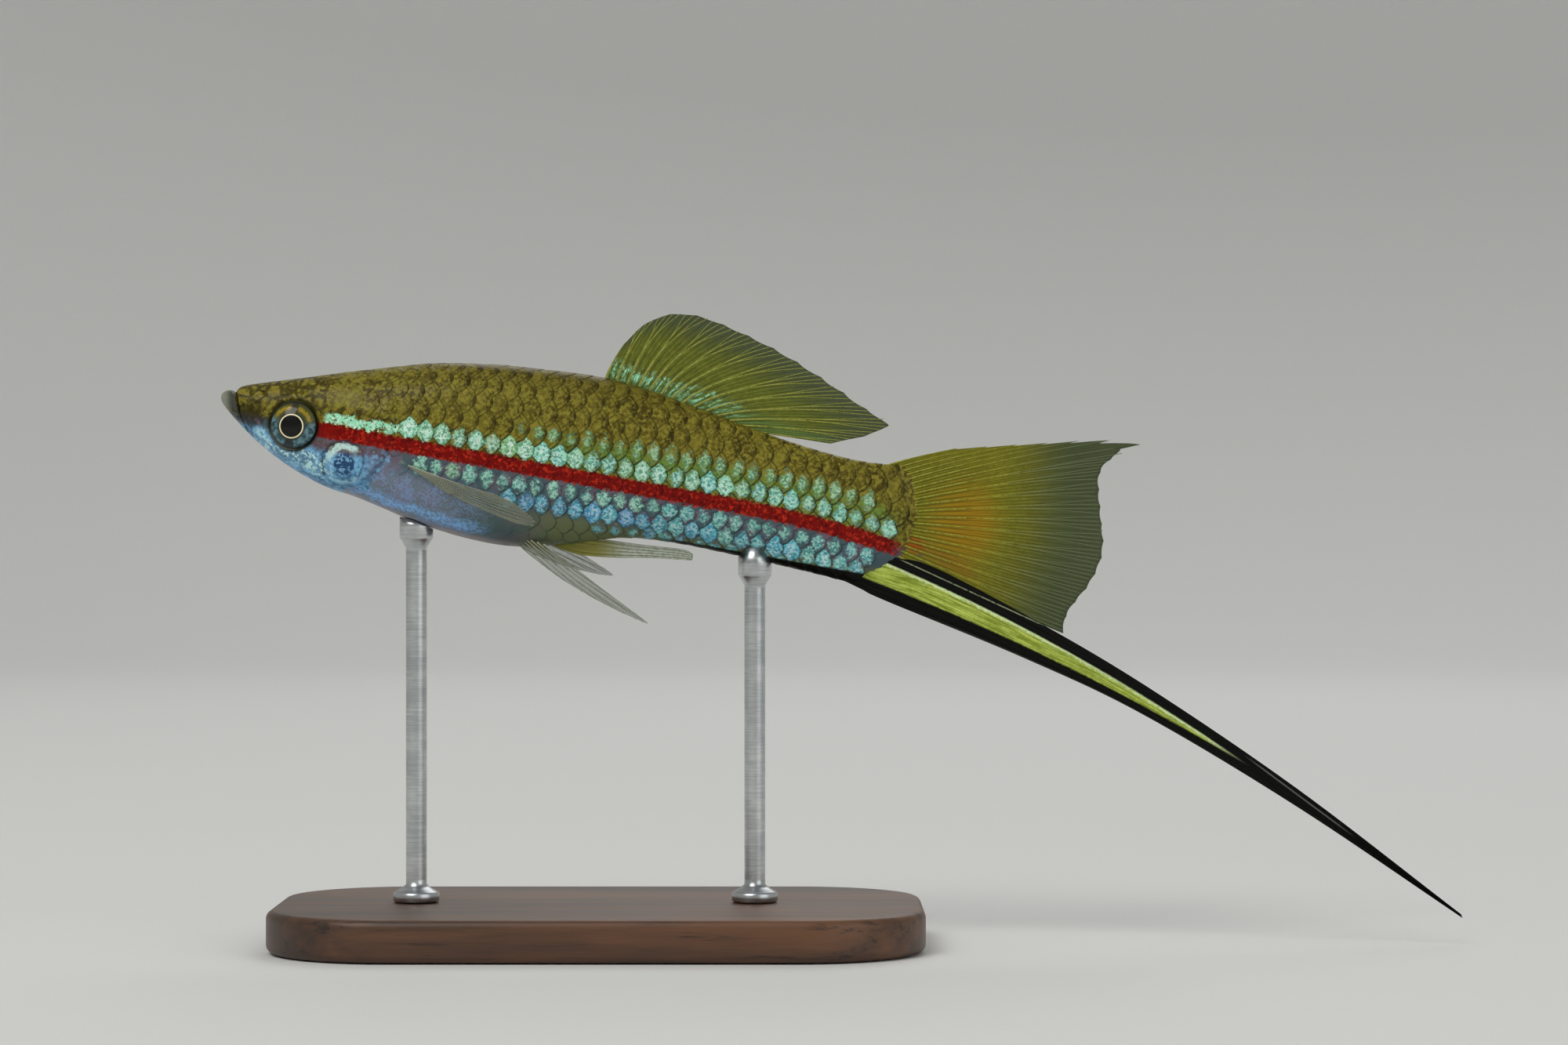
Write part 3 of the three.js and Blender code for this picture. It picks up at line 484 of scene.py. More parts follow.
def skin_finish():
    """Bare skin: the body colours, with gold cells and dark specks on the head, silver on its cheek, and
    painted shade round the eye, in the gill grooves and in the mouth's cleft.
    """
    finish, start, place, x, z = fish_finish("fish_skin")
    height = z - stripe_middle(x)
    colour, stripe, fine, soft, grit, chip = body_colour(place, x, z, height)
    jitter = fine - 0.5
    cell = place.node("TexVoronoi", {"Vector": place, "Scale": 0.8}, feature="DISTANCE_TO_EDGE")
    warped = cell + jitter * 0.3
    top = x.rise(19.0, 17.2) * (height - 0.3).rise(0.5, 1.6)
    colour = (top * warped.rise(0.2, 0.05) * (0.45 + fine.rise(0.4, 0.56) * 0.4)).tint(colour, BACK_NET)
    colour = (top * warped.rise(0.2, 0.42) * soft.rise(0.42, 0.6) * 0.55).tint(colour, HEAD_GOLD)
    specks = (grit * 0.7 + soft * 0.5).rise(0.5, 0.4) * top
    colour = (specks * 0.6).tint(colour, SNOUT_DARK)
    shade = (x + jitter * 2).band(9.3, 17.5, 0.8) * (height + jitter * 0.8).rise(-0.7, -1.2)
    colour = shade.tint(colour, (fine + chip * 0.3).rise(0.5, 0.8).tint(HEAD_SHADE, GILL_FLUSH))
    cheek_top = x.rise(7.5, 10.5) * -1.2 + x.rise(13.5, 15.5) * 0.2 - 2.2
    cheek_zone = (x + jitter * 2).rise(18.2, 16.6) * (z - cheek_top + jitter * 1.2).rise(0.3, -0.3)
    silver = (soft * 0.6 + fine * 0.5 + chip * 0.2).rise(0.54, 0.76).tint(CHEEK_GREY, CHEEK_BLUE)
    silver = ((fine * 0.7 + soft * 0.6).rise(0.64, 0.52) * 0.7).tint(silver, CHEEK_DEEP)
    colour = cheek_zone.tint(colour, silver)
    along_jaw = (x * 0.28 + z + 1.9 + (soft - 0.5) * 2.0).band(-0.85, 0.9, 0.3) * x.band(4.2, 11.9, 1.0)
    pearl = along_jaw * (0.1 + (grit * 0.3 + fine * 0.5 + chip * 0.3).rise(0.56, 0.68) * 0.9)
    colour = (pearl * cheek_zone).tint(colour, CHEEK_PEARL)
    across, up = x - 13.1, z + 4.25
    from_patch = (across * across + up * up).maths("SQRT") + jitter * 0.9
    patch = (grit * 0.4 + soft * 0.4 + chip * 0.3).rise(0.52, 0.66).tint(GILL_BLUE, GILL_LIGHT)
    colour = from_patch.rise(1.2, 0.9).tint(colour, patch)
    crescent = from_patch.band(1.3, 1.9, 0.15) * (up - across * 0.5 - 0.6).rise(-0.1, 0.6)
    colour = (crescent * (0.7 + grit.rise(0.44, 0.54) * 0.3)).tint(colour, GILL_WHITE)
    low_arc = from_patch.band(1.7, 1.9, 0.15) * (across * 0.2 - up).rise(1.0, 1.5)
    colour = (low_arc * 0.5).tint(colour, CHEEK_PEARL)
    # Painted shade in the grooves round the blue gill patch and along the gill cover's rear edge.
    groove = abs(from_patch - 2.15).rise(0.2, 0.05) * (up - across * 1.2).rise(0.2, 1.0)
    rear_groove_shade = abs(x + (z + 4.0) ** 2 * 0.16 - 14.9).rise(0.16, 0.04) * z.band(-5.4, -2.9, 0.3)
    colour = ((groove * 0.7) + rear_groove_shade * 0.5).tint(colour, GROOVE_SHADE)
    rear_flush = (x + (soft - 0.5) * 2).band(15.4, 19.2, 0.8) * (z + jitter).band(-5.4, -2.5, 0.7)
    colour = (rear_flush * 0.65).tint(colour, chip.rise(0.7, 0.9).tint(GILL_FLUSH, GILL_LIGHT))
    stripe_start = near(x, z, (10.6, -1.4), (1, 2)) + (grit - 0.5) * 1.6
    colour = (stripe_start.rise(1.3, 0.7) * 0.8).tint(colour, RED)
    mint = x.band(10.6, 18.0, 0.3) * (height + jitter * 1.5 + (soft - 0.5) * 1.2).band(0.8, 1.75, 0.12)
    glint = (grit * 0.6 + fine * 0.5).rise(0.56, 0.64).tint(MINT, MINT_WHITE)
    colour = (mint * (grit * 0.6 + soft * 0.5).rise(0.44, 0.52)).tint(colour, glint)
    snout = near(x, z, (3.4, -1.0), (0.4, 1)) + jitter * 2.2 + (soft - 0.5)
    colour = (snout.rise(1.5, 0.6) * 0.8).tint(colour, SNOUT_DARK)
    # Painted shade round the eye, where the skin sinks into the socket.
    colour = (near(x, z, EYE_PLACE[::2]).rise(2.75, 2.45) * 0.45).tint(colour, EYE_SOCKET_SHADE)
    jaw = (x + z * 0.43).rise(1.75, 1.55) * z.rise(-1.6, -0.7)
    colour = jaw.tint(colour, (x + z * 0.3).rise(0.35, 1.3).tint(JAW_PALE, JAW_GREY))
    # Painted shade in the mouth's cleft, where the upper lip overlaps the lower jaw.
    cleft = abs(x + z * 0.43 - 1.83).rise(0.16, 0.02) * z.rise(-1.3, -0.7)
    colour = cleft.tint(colour, SNOUT_DARK)
    rough = 0.44 - stripe * 0.04 - fine * 0.1
    grain = fine * 0.6 + grit * 0.4
    close_finish(start, with_keel(colour, x, z), rough, bump=grain, strength=0.2, depth=0.00005, **SATIN)
    return finish


# The last of these colours is painted shade round the eye socket.
HEAD_GOLD, HEAD_SHADE, SNOUT_DARK, EYE_SOCKET_SHADE = tones("8f7b26 5e4a2e 241c0c 1b1c12")
JAW_GREY, JAW_PALE = tones("464b40 8c9080")
# The last of these colours, for the gill grooves, is painted shade.
CHEEK_GREY, CHEEK_BLUE, CHEEK_PEARL, CHEEK_DEEP, GROOVE_SHADE = tones("6496bc 82c0e8 ccf6f8 42688a 1e2c3a")
GILL_BLUE, GILL_LIGHT, GILL_WHITE, GILL_FLUSH = tones("2e5078 7fb2d6 cdf0ea 6b6076")


def skin():
    """The whole body as one closed skin: half sections mirrored round, and a point at each end."""
    x = stations(68.6)
    angle = np.linspace(0, pi, SIDES)
    half = section(x[:, None], angle[None, :])
    thin = ease(gap_to(ROOT_LINE, half[..., 0], half[..., 2]), 0.55, -1.6)
    half[..., 1] *= 0.04 + 0.96 * np.sqrt(thin)
    left = half * (1, -1, 1)
    right = half[:, -2:0:-1]
    rings = np.concatenate([left, right], axis=1)
    nose, tail = rings[0].mean(axis=0) * (0, 0, 1), rings[-1].mean(axis=0) * (1, 0, 1)
    points = np.concatenate([rings.reshape(-1, 3), [nose, tail]])
    faces = closed_tube(*rings.shape[:2])
    piece = mesh_piece("fish_skin", to_scene(points), faces, skin_finish())
    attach(piece, "root")
    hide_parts("head", "lower_jaw", "gill_cover_left", "gill_cover_right", "trunk", "tail_peduncle")


skin()

# Scales
# Thin clear plates with dark rear edges, set like roof tiles from the nape to the tail root. Their rows run
# along the red stripe, each row half a scale behind the next. Crystals under some rows shine green and blue.
SCALE_STEP, ROW_STEP, BACK_STEP = 1.6, 1.6, 0.33
SCALE_LENGTH, SCALE_HEIGHT = 1.12, 1.3
SCALE_TILT, SCALE_SUNK = 0.024, 0.15
PLATE_POWER = 1.5
PLATE_RINGS = (0.5, 0.86, 1.0, 1.0)
PLATE_ANGLES = np.radians((-112, -80, -52, -30, -14, 0, 14, 30, 52, 80, 112, 146, 180, 214))
FIRST_ROW, LAST_ROW = -8, 6
SCALES_FROM, SCALES_TO = 8.0, 68.0
NAPE_START, NAPE_HEIGHT = 9.4, 3.4
GILL_CLEARANCE, ROOT_CLEARANCE, LEAST_SIDE = 0.5, 0.8, 0.35
PLACE_SCATTER, SIZE_SCATTER, LIFT_SCATTER, HUE_SCATTER = 0.035, 0.03, 0.002, 0.08
BASE_LIFT, RIM_DROP = 0.025, 0.022
MAP_CELL, MAP_START, MAP_SPAN = (0.46, 0.44), (5, -14), (64, 28)
GIRTH_STEPS = np.arange(-13.5, 13.51, 0.1)


def flank_table():
    """The side of the body by x and girth, which is the way round the section up from the stripe's middle."""
    x = np.linspace(6, 68, 400)
    points = section(x[:, None], np.linspace(0, pi, 240)[None, :])
    down = run_along(points)
    table = np.empty((len(x), len(GIRTH_STEPS), 3))
    for i in range(len(x)):
        stripe = np.interp(-stripe_middle(x[i]), -points[i, :, 2], down[i])
        for part in range(3):
            table[i, :, part] = np.interp(stripe - GIRTH_STEPS, down[i], points[i, :, part])
    return x, table


FLANK_X, FLANK_POINTS = flank_table()


def on_flank(x, girth):
    """Points of the left side, found between the nearest four places of the table."""
    i, j = [np.clip((value - steps[0]) / (steps[1] - steps[0]), 0, len(steps) - 1.001)
            for value, steps in ((x, FLANK_X), (girth, GIRTH_STEPS))]
    a, b = i.astype(int), j.astype(int)
    u, v = (i - a)[..., None], (j - b)[..., None]
    low, high = [FLANK_POINTS[a, row] * (1 - u) + FLANK_POINTS[a + 1, row] * u for row in (b, b + 1)]
    return low * (1 - v) + high * v


def unit(vectors):
    """Vectors along the last axis, each made 1 long."""
    return vectors / np.maximum(np.linalg.norm(vectors, axis=-1, keepdims=True), 1e-6)


def copies(groups, each, count):
    """The faces of one small mesh of so many points, repeated for a count of copies."""
    first = each * np.arange(count)[:, None, None]
    return [(group + first).reshape(-1, group.shape[1]) for group in groups]


def scale_places(draw):
    """x, girth and row of each scale on one side: every lattice place that lies on scaled skin."""
    places = []
    for row in range(FIRST_ROW, LAST_ROW + 1):
        x = np.arange(SCALES_FROM, SCALES_TO, SCALE_STEP) + (row % 2) * SCALE_STEP / 2
        girth = np.full_like(x, row * ROW_STEP + max(row - 1, 0) * BACK_STEP)
        spot = on_flank(x, girth)
        side_view = spot[:, 0], spot[:, 2]
        behind_gill = gap_to(GILL_LINE, *side_view) > GILL_CLEARANCE
        nape = (spot[:, 2] > stripe_middle(x) + NAPE_HEIGHT) & (x > NAPE_START)
        before_root = gap_to(ROOT_LINE, *side_view) < -ROOT_CLEARANCE
        before_root &= (row > -2) | (x < 71.8 + 3.1 * row)
        on_side = np.abs(on_flank(x, girth + 0.5) - on_flank(x, girth - 0.5)).sum(axis=1) > LEAST_SIDE
        keep = (behind_gill | nape) & before_root & on_side
        places += [(x[k], girth[k], row) for k in np.flatnonzero(keep)]
    places = np.array(places)
    places[:, :2] += draw.normal(0, PLACE_SCATTER, (len(places), 2))
    return places


# For each row that shines: from which x to which, then how much and how blue, at its front and at its rear
SHINE = {
    2: (28, 63, 0.3, 0.5, 0.0, 0.1), 1: (9, 66, 1.0, 0.66, 0.05, 0.4), -1: (18.5, 66, 0.6, 0.5, 0.3, 0.55),
    -2: (27.5, 66, 0.95, 0.85, 0.85, 0.5), -3: (36, 65, 0.5, 0.6, 0.8, 0.55),
}
NO_SHINE = (0, 1, 0, 0, 0, 0)


def scale_coat(name, side, seed):
    """All scales of one side in one mesh. A scale is rings of a pointed oval, tilted up to the rear, with its
    rim turned down: x^p + y^p = 1, where p below 2 draws the oval in between its four corners."""
    draw = np.random.default_rng(seed)
    places = scale_places(draw)
    count, corners = len(places), len(PLATE_ANGLES)
    place_x, place_girth, row = places.T[:, :, None]
    axes = np.stack([np.cos(PLATE_ANGLES), np.sin(PLATE_ANGLES)])
    axes = np.sign(axes) * np.abs(axes) ** (2 / PLATE_POWER)
    back, across = [np.concatenate([[0.0], np.outer(PLATE_RINGS, part).ravel()]) for part in axes]
    ring_of = np.concatenate([[0.0], np.repeat(PLATE_RINGS, corners)])
    size = draw.normal(1, SIZE_SCATTER, (count, 1))
    x = place_x + back * SCALE_LENGTH * size
    girth = place_girth + across * SCALE_HEIGHT * size * np.where(row > 1, 1 + BACK_STEP / ROW_STEP, 1)
    base = on_flank(x, girth)
    ahead = on_flank(x + 0.1, girth) - on_flank(x - 0.1, girth)
    upward = on_flank(x, girth + 0.15) - on_flank(x, girth - 0.15)
    normal = unit(np.cross(upward, ahead))
    from_axis = base - np.stack([x, 0 * x, stripe_middle(x)], axis=-1)
    normal *= np.where((normal * from_axis).sum(axis=-1, keepdims=True) < 0, -1, 1)
    belly_side = ease(place_girth, -1.5, -3.5) * ease(place_x, 34, 27)
    settle = (0.25 + 0.75 * ease(place_x, 10, 17)) * (1 - 0.8 * belly_side)
    lift = BASE_LIFT + SCALE_TILT * (back + 0.6) * settle - RIM_DROP * ring_of**4
    lift = lift + draw.normal(0, LIFT_SCATTER, (count, 1))
    lift[:, -corners:] -= SCALE_SUNK
    points = base + normal * lift[..., None]
    points[..., 1] *= side
    each = points.shape[1]
    here = np.arange(corners)
    hub = np.stack([0 * here, (here + 1) % corners + 1, here + 1], axis=-1)
    plate = [grid_faces(len(PLATE_RINGS), corners, wrap=True) + 1, hub, each - corners + here[None, :]]
    shines = np.array([SHINE.get(int(number), NO_SHINE) for number in row[:, 0]])
    start_x, end_x, front, rear, front_hue, rear_hue = shines.T
    place_x = place_x[:, 0]
    within = ease(place_x, start_x - 1, start_x + 2) * ease(place_x, end_x + 1, end_x - 1)
    share = np.clip((place_x - start_x) / (end_x - start_x), 0, 1)
    luck = draw.uniform(0, 1, (2, count))
    shine = np.stack([
        np.clip((front + (rear - front) * share) * within * (0.65 + 0.5 * luck[0]), 0, 1),
        np.clip(front_hue + (rear_hue - front_hue) * share + draw.normal(0, HUE_SCATTER, count), 0, 1),
        luck[1], np.ones(count),
    ], axis=-1)
    plate_map = np.tile(np.stack([back, across], axis=1) * 0.5 + 0.5, (count, 1))
    cell = np.stack([places[:, :1] + back * MAP_CELL[0] * SCALE_STEP,
                     place_girth + across * MAP_CELL[1] * ROW_STEP], axis=-1).reshape(-1, 2)
    cell = (cell - MAP_START) / MAP_SPAN
    piece = mesh_piece(name, to_scene(points), copies(plate, each, count), SCALE_FINISH,
                       maps={"plate": plate_map, "OFBake": cell},
                       marks={"shine": np.repeat(shine, each, axis=0)})
    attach(piece, "root")
    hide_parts("trunk")


def scale_finish():
    """Body colours with a dark net at each scale's edge, and broken patches of green or blue crystals."""
    finish, start, place, x, z = fish_finish("fish_scales")
    height = z - stripe_middle(x)
    colour, stripe, fine, _, grit, chip = body_colour(place, x, z, height)
    u, v = [part * 2 - 1 for part in parts(start.node("UVMap", {}, uv_map="plate"))[:2]]
    shine, hue, luck = parts(start.node("Attribute", {}, attribute_name="shine"), "SeparateColor")
    across = abs(v) ** PLATE_POWER
    edge = abs(u) ** PLATE_POWER + across
    spark = noise(place, 7.5, 2.0, 0.8)
    blob = noise(place, 1.3, 1.0)
    colour = (luck.rise(0.3, 1.0) * 0.3 * height.rise(1, 2)).tint(colour, BACK_BRIGHT)
    ragged = (fine - 0.5) * 0.5
    net = (edge + ragged).rise(0.74, 0.9)
    behind = abs(u - 1.43) ** PLATE_POWER + across
    beside = abs(u - 0.71) ** PLATE_POWER + abs(abs(v) - 1.23) ** PLATE_POWER
    seen_through = [abs(neighbour + ragged - 1).rise(0.16, 0.04) for neighbour in (behind, beside)]
    seen_through = (seen_through[0] + seen_through[1]) * 0.45
    above = height.rise(0.5, 1.3) * x.rise(11, 18) * (0.55 + blob.rise(0.4, 0.6) * 0.45)
    colour = (seen_through * above).tint(colour, BACK_NET)
    colour = (net * above * 0.55).tint(colour, BACK_NET)
    tip = ((u - 0.85) ** 2 + v * v).maths("SQRT") + (blob - 0.5) * 0.9
    colour = (tip.rise(0.36, 0.1) * height.rise(1.2, 2.0) * x.rise(14, 20) * 0.7).tint(colour, BACK_NET)
    lower_net = net * height.rise(-0.9, -1.3) * x.rise(27, 34)
    colour = (lower_net * 0.6).tint(colour, FLANK_NET)
    shade = (net + seen_through * 0.5) * height.band(0.6, 2.6, 0.3) * x.rise(14, 19)
    colour = (shade * 0.7).tint(colour, TEAL_DARK)
    colour = (net * stripe * 0.35).tint(colour, RED_DARK)
    middle = abs(u - 0.2) ** PLATE_POWER + across * 0.75
    patch = middle + (grit - 0.5) * 1.1 + (chip - 0.5) * 0.3 + (blob - 0.5) * 0.6 + (0.9 - shine) * 0.8
    patch = patch.rise(0.8, 0.5) * shine.rise(0.02, 0.2) * (1 - stripe) * (0.6 + shine * 0.4)
    glow = hue.node("ValToRGB", {0: hue + (blob - 0.5) * 0.35}, ramp=SHINE_RAMP)
    facet = flecks(place, 5.0)
    dim = (facet * 0.25 + grit * 0.8).rise(0.6, 0.4) * (1 - shine * 0.35)
    glow = dim.tint(glow, hue.tint(MINT_DEEP, BLUE_DEEP))
    core = (middle + (grit - 0.5) * 0.8).rise(0.7, 0.1)
    core = core * (facet * 0.25 + fine * 0.6 + spark * 0.4).rise(0.54, 0.74)
    glow = (core * (0.9 - hue * 0.3) * shine).tint(glow, SPARK)
    colour = with_keel(patch.tint(colour, glow), x, z)
    rough = 0.44 - patch * 0.14 - fine * 0.08
    close_finish(start, colour, rough, bump=grit, strength=0.15, depth=0.00004, **SATIN)
    return finish


FLANK_NET, SPARK, BLUE_DEEP, TEAL_DARK = tones("2c3a40 eefff8 2b6a94 12352f")
SHINE_RAMP = list(zip((0.0, 0.25, 0.55, 0.8, 1.0), tones("92cf8e a2ecc8 7ce0d8 5cc4e6 74a8ee")))
SCALE_FINISH = scale_finish()
scale_coat("scales_left", -1, 41)
scale_coat("scales_right", 1, 42)

# Eyes
# Glossy domes set in the sockets: a black pupil in a thin gold ring, and an iris that is gold over its top
# and blue-silver below, with a dark wedge under the pupil. The clear coat stands for the cornea.
EYE_DEPTH, EYE_TURN, EYE_SIDES = 1.5, radians(9), 64
PUPIL_RADIUS, RING_WIDTH, IRIS_RADIUS = 1.05, 0.12, 2.15
PUPIL_OFF = (-0.12, -0.12)


def eye_finish():
    """Rings by distance from the pupil's middle, and sectors by direction, in the fish's side view."""
    finish, start, place, x, z = fish_finish("eye")
    fine = noise(place, 3.5, 4.0, 0.7)
    jitter = fine - 0.5
    a, b = x - EYE_PLACE[0] - PUPIL_OFF[0], z - EYE_PLACE[2] - PUPIL_OFF[1]
    out = (a * a + b * b).maths("SQRT")
    rim = near(x, z, EYE_PLACE[::2])
    up = b / (out + 0.01)
    lower = (noise(place, 1.6, 3.0) + fine * 0.5).rise(0.6, 0.95).tint(IRIS_TEAL, IRIS_SILVER)
    colour = (up + jitter * 0.5).rise(0.1, 0.5).tint(lower, IRIS_OLIVE)
    grit = noise(place, 8.0, 2.0, 0.8)
    gold = (up - 0.25 + (grit - 0.5) * 0.6).rise(0.0, 0.3) * (out + jitter * 0.6).band(1.6, 1.95, 0.12)
    colour = (gold * abs(a).rise(0.15, 0.5) * 0.85).tint(colour, IRIS_GOLD)
    colour = (grit.rise(0.54, 0.66) * up.rise(0.3, -0.2) * 0.5).tint(colour, IRIS_SILVER)
    wedge = (abs(a) + b * 0.32 + jitter * 0.3).rise(0.05, -0.15) * up.rise(-0.5, -0.8)
    colour = (wedge * 0.85).tint(colour, EYE_DARK)
    top_notch = (abs(a) - 0.12).rise(0.35, 0.1) * up.rise(0.8, 0.95)
    colour = (top_notch * 0.6).tint(colour, EYE_DARK)
    colour = out.rise(1.5, 1.2).tint(colour, IRIS_INNER)
    colour = (rim + jitter * 0.08).rise(IRIS_RADIUS - 0.1, IRIS_RADIUS + 0.06).tint(colour, EYE_DARK)
    colour = rim.band(2.3, 2.4, 0.05).tint(colour, IRIS_OLIVE)
    colour = (out - PUPIL_RADIUS).rise(RING_WIDTH + 0.02, RING_WIDTH - 0.03).tint(colour, IRIS_RING)
    colour = out.rise(PUPIL_RADIUS + 0.02, PUPIL_RADIUS - 0.03).tint(colour, PUPIL_BLACK)
    close_finish(start, colour, 0.4, Coat_Weight=0.45, Coat_Roughness=0.02, Specular_IOR_Level=0.1)
    return finish


IRIS_TEAL, IRIS_SILVER, IRIS_OLIVE, IRIS_GOLD = tones("233f42 6f98a4 4d4d22 a48e22")
EYE_DARK, IRIS_INNER, IRIS_RING, PUPIL_BLACK = tones("10140f 2c382f fbeec4 010101")


def eye(name, side, finish):
    """A flattened ball: depth times the cosine of the angle from its axis, radius times the sine."""
    polar = np.linspace(0, pi, 33)[1:-1]
    around = np.linspace(0, 2 * pi, EYE_SIDES, endpoint=False)
    x, z, y = turned(EYE_RADIUS * np.sin(polar), EYE_DEPTH * np.cos(polar), around).reshape(-1, 3).T
    x, y, z = np.append(x, (0, 0)), np.append(y, (EYE_DEPTH, -EYE_DEPTH)), np.append(z, (0, 0))
    outward = y * cos(EYE_TURN) + x * sin(EYE_TURN)
    backward = x * cos(EYE_TURN) - y * sin(EYE_TURN)
    points = np.stack([backward + EYE_PLACE[0], (outward + EYE_PLACE[1]) * side, z + EYE_PLACE[2]], axis=-1)
    piece = mesh_piece(name, to_scene(points), closed_tube(len(polar), EYE_SIDES), finish)
    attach(piece, "root")
    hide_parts(name)


EYE_FINISH = eye_finish()
eye("eye_left", -1, EYE_FINISH)
eye("eye_right", 1, EYE_FINISH)

# Dorsal and tail fins
# A fin is a thin film stretched over bony rays that fork towards the margin. Film and rays are worked out
# from the same fan: each ray bends from its root on the body to its tip on the fin's margin.
DORSAL_MARGIN = ((37.1, 11.7), (39.3, 14.4), (43.2, 15.6), (50.2, 14.1), (56.5, 11.7), (63.4, 8.4))
DORSAL_REAR = ((61.3, 6.95), (58.3, 5.72))
DORSAL_ROOTS, DORSAL_SUNK = (35.9, 49.7), 0.5
TAIL_TOP = ((70.2, 7.35), (77.4, 9.1), (84.1, 10.6), (87.4, 10.75))
TAIL_REAR = ((84.9, 8.9), (84.1, 7.2), (84.8, 3.8), (85.65, 0.2), (85, -3), (83.4, -6.2), (83.3, -8.3))
TAIL_ROOTS = ((63.4, 4.3), (65.6, 1.5), (65.7, -1), (65, -3.3))
FILM_HALF, RAY_ROOT, RAY_TIP = 0.04, 0.11, 0.06
FILM_ROWS, FILM_STEPS, RAY_ROWS, RAY_SIDES = 40, 6, 10, 6
FORKS, TWIG_OFFSETS = (0.38, 0.62), (0.27, 0.15)
WEB_THINNING, ROOT_THICK, TIP_THIN, TOOTH_DEPTH = 0.45, 1.15, 0.6, 13


def between(curve, places, at):
    """x and z at some places on a curve that is given as points and their places on it."""
    return np.stack([np.interp(at, places, part) for part in curve.T], axis=-1)


def smooth_line(points, count):
    """Evenly spaced points on a smooth curve through [x, z] points, with a cubic for each four neighbours."""
    p = np.array(points, dtype=float)
    p = np.concatenate([[2 * p[0] - p[1]], p, [2 * p[-1] - p[-2]]])
    t = np.linspace(0, 1, 60, endpoint=False)[:, None]
    spans = [0.5 * (2 * b + (c - a) * t + (2 * a - 5 * b + 4 * c - d) * t**2 + (3 * b - a - 3 * c + d) * t**3)
             for a, b, c, d in zip(p[:-3], p[1:-2], p[2:-1], p[3:])]
    curve = np.concatenate(spans + [p[-2:-1]])
    run = run_along(curve)
    return between(curve, run, np.linspace(0, run[-1], count))


def fan(roots, tips, bend):
    """A function of ray number and v, 0 at the root and 1 at the tip, for a quadratic curve with a bend."""
    numbers = range(len(roots))

    def point(ray, v):
        ray, v = np.broadcast_arrays(ray, v)
        root, tip = [np.stack([along(list(zip(numbers, part)), ray) for part in np.transpose(ends)], axis=-1)
                     for ends in (roots, tips)]
        middle = root + (tip - root) * np.array(bend)
        v = v[..., None]
        return (1 - v) ** 2 * root + 2 * v * (1 - v) * middle + v**2 * tip

    return point, len(roots)


def upright(points, off):
    """A fin in the fish's middle plane: [x, z] and the distance off the plane."""
    return np.stack([points[..., 0], off, points[..., 1]], axis=-1)


def two_sided(rows, columns):
    """Faces of a thin closed sheet: a grid of points, its copy on the far side and a wall round the rim."""
    each = rows * columns
    row, column = np.arange(rows), np.arange(columns)
    right, left = row[:-1] * columns + columns - 1, row[:0:-1] * columns
    rim = np.concatenate([column[:-1], right, each - 1 - column[:-1], left])
    after = np.roll(rim, -1)
    front = grid_faces(rows, columns)
    return [front, front[:, ::-1] + each, np.stack([rim, rim + each, after + each, after], axis=-1)]


def sheet(name, flat, place, bow, thick, own, finish):
    """A closed mesh from a grid of [x, z] points: bowed off its plane, with half its thickness to each side.
    own holds the two parts of the fin's own map."""
    bent = bow(*np.moveaxis(flat, -1, 0))
    points = np.stack([place(flat, bent - thick), place(flat, bent + thick)])
    maps = {"fin": np.tile(np.stack(np.broadcast_arrays(*own), axis=-1).reshape(-1, 2), (2, 1))}
    return mesh_piece(name, to_scene(points), two_sided(*flat.shape[:2]), finish, maps=maps)


def film(name, spread, place, bow, finish, notch=0.006, half=FILM_HALF, stepped=0):
    """The membrane: a grid of ray number by v, thicker at the rays and scalloped at its rim. The first spans
    may step in like saw teeth instead."""
    point, count = spread
    ray = np.linspace(0, count - 1, (count - 1) * FILM_STEPS + 1)[:, None]
    v = np.linspace(0, 1, FILM_ROWS)[None, :]
    middle = 4 * (ray % 1) * (1 - ray % 1)
    tooth = TOOTH_DEPTH * np.where(ray % 1 > 0, 1 - ray % 1, 0)
    flat = point(ray, v * (1 - notch * np.where(ray < stepped, tooth, middle) * v))
    thick = half * (1 - WEB_THINNING * middle) * (ROOT_THICK - TIP_THIN * v)
    return sheet(name, flat, place, bow, thick, (ray, v), finish)


def rods(name, lines, radii, run, finish):
    """Closed thin rods in one mesh: rings of points square to each line, and a point at each end."""
    count, rows = lines.shape[:2]
    ahead = np.gradient(lines, axis=1)
    side = unit(np.cross(ahead, (0.0, 1.0, 0.0)))
    other = unit(np.cross(ahead, side))
    turn = np.linspace(0, 2 * pi, RAY_SIDES, endpoint=False)[:, None]
    ring = side[..., None, :] * np.cos(turn) + other[..., None, :] * np.sin(turn)
    rings = (lines[..., None, :] + ring * radii[..., None, None]).reshape(count, -1, 3)
    points = np.concatenate([rings, lines[:, :1], lines[:, -1:]], axis=1)
    run = np.concatenate([np.repeat(run, RAY_SIDES, axis=1), run[:, :1], run[:, -1:]], axis=1)
    lane = np.broadcast_to(np.arange(count)[:, None], run.shape)
    faces = copies(closed_tube(rows, RAY_SIDES), points.shape[1], count)
    maps = {"fin": np.stack([lane, run], axis=-1).reshape(-1, 2)}
    return mesh_piece(name, to_scene(points), faces, finish, maps=maps)


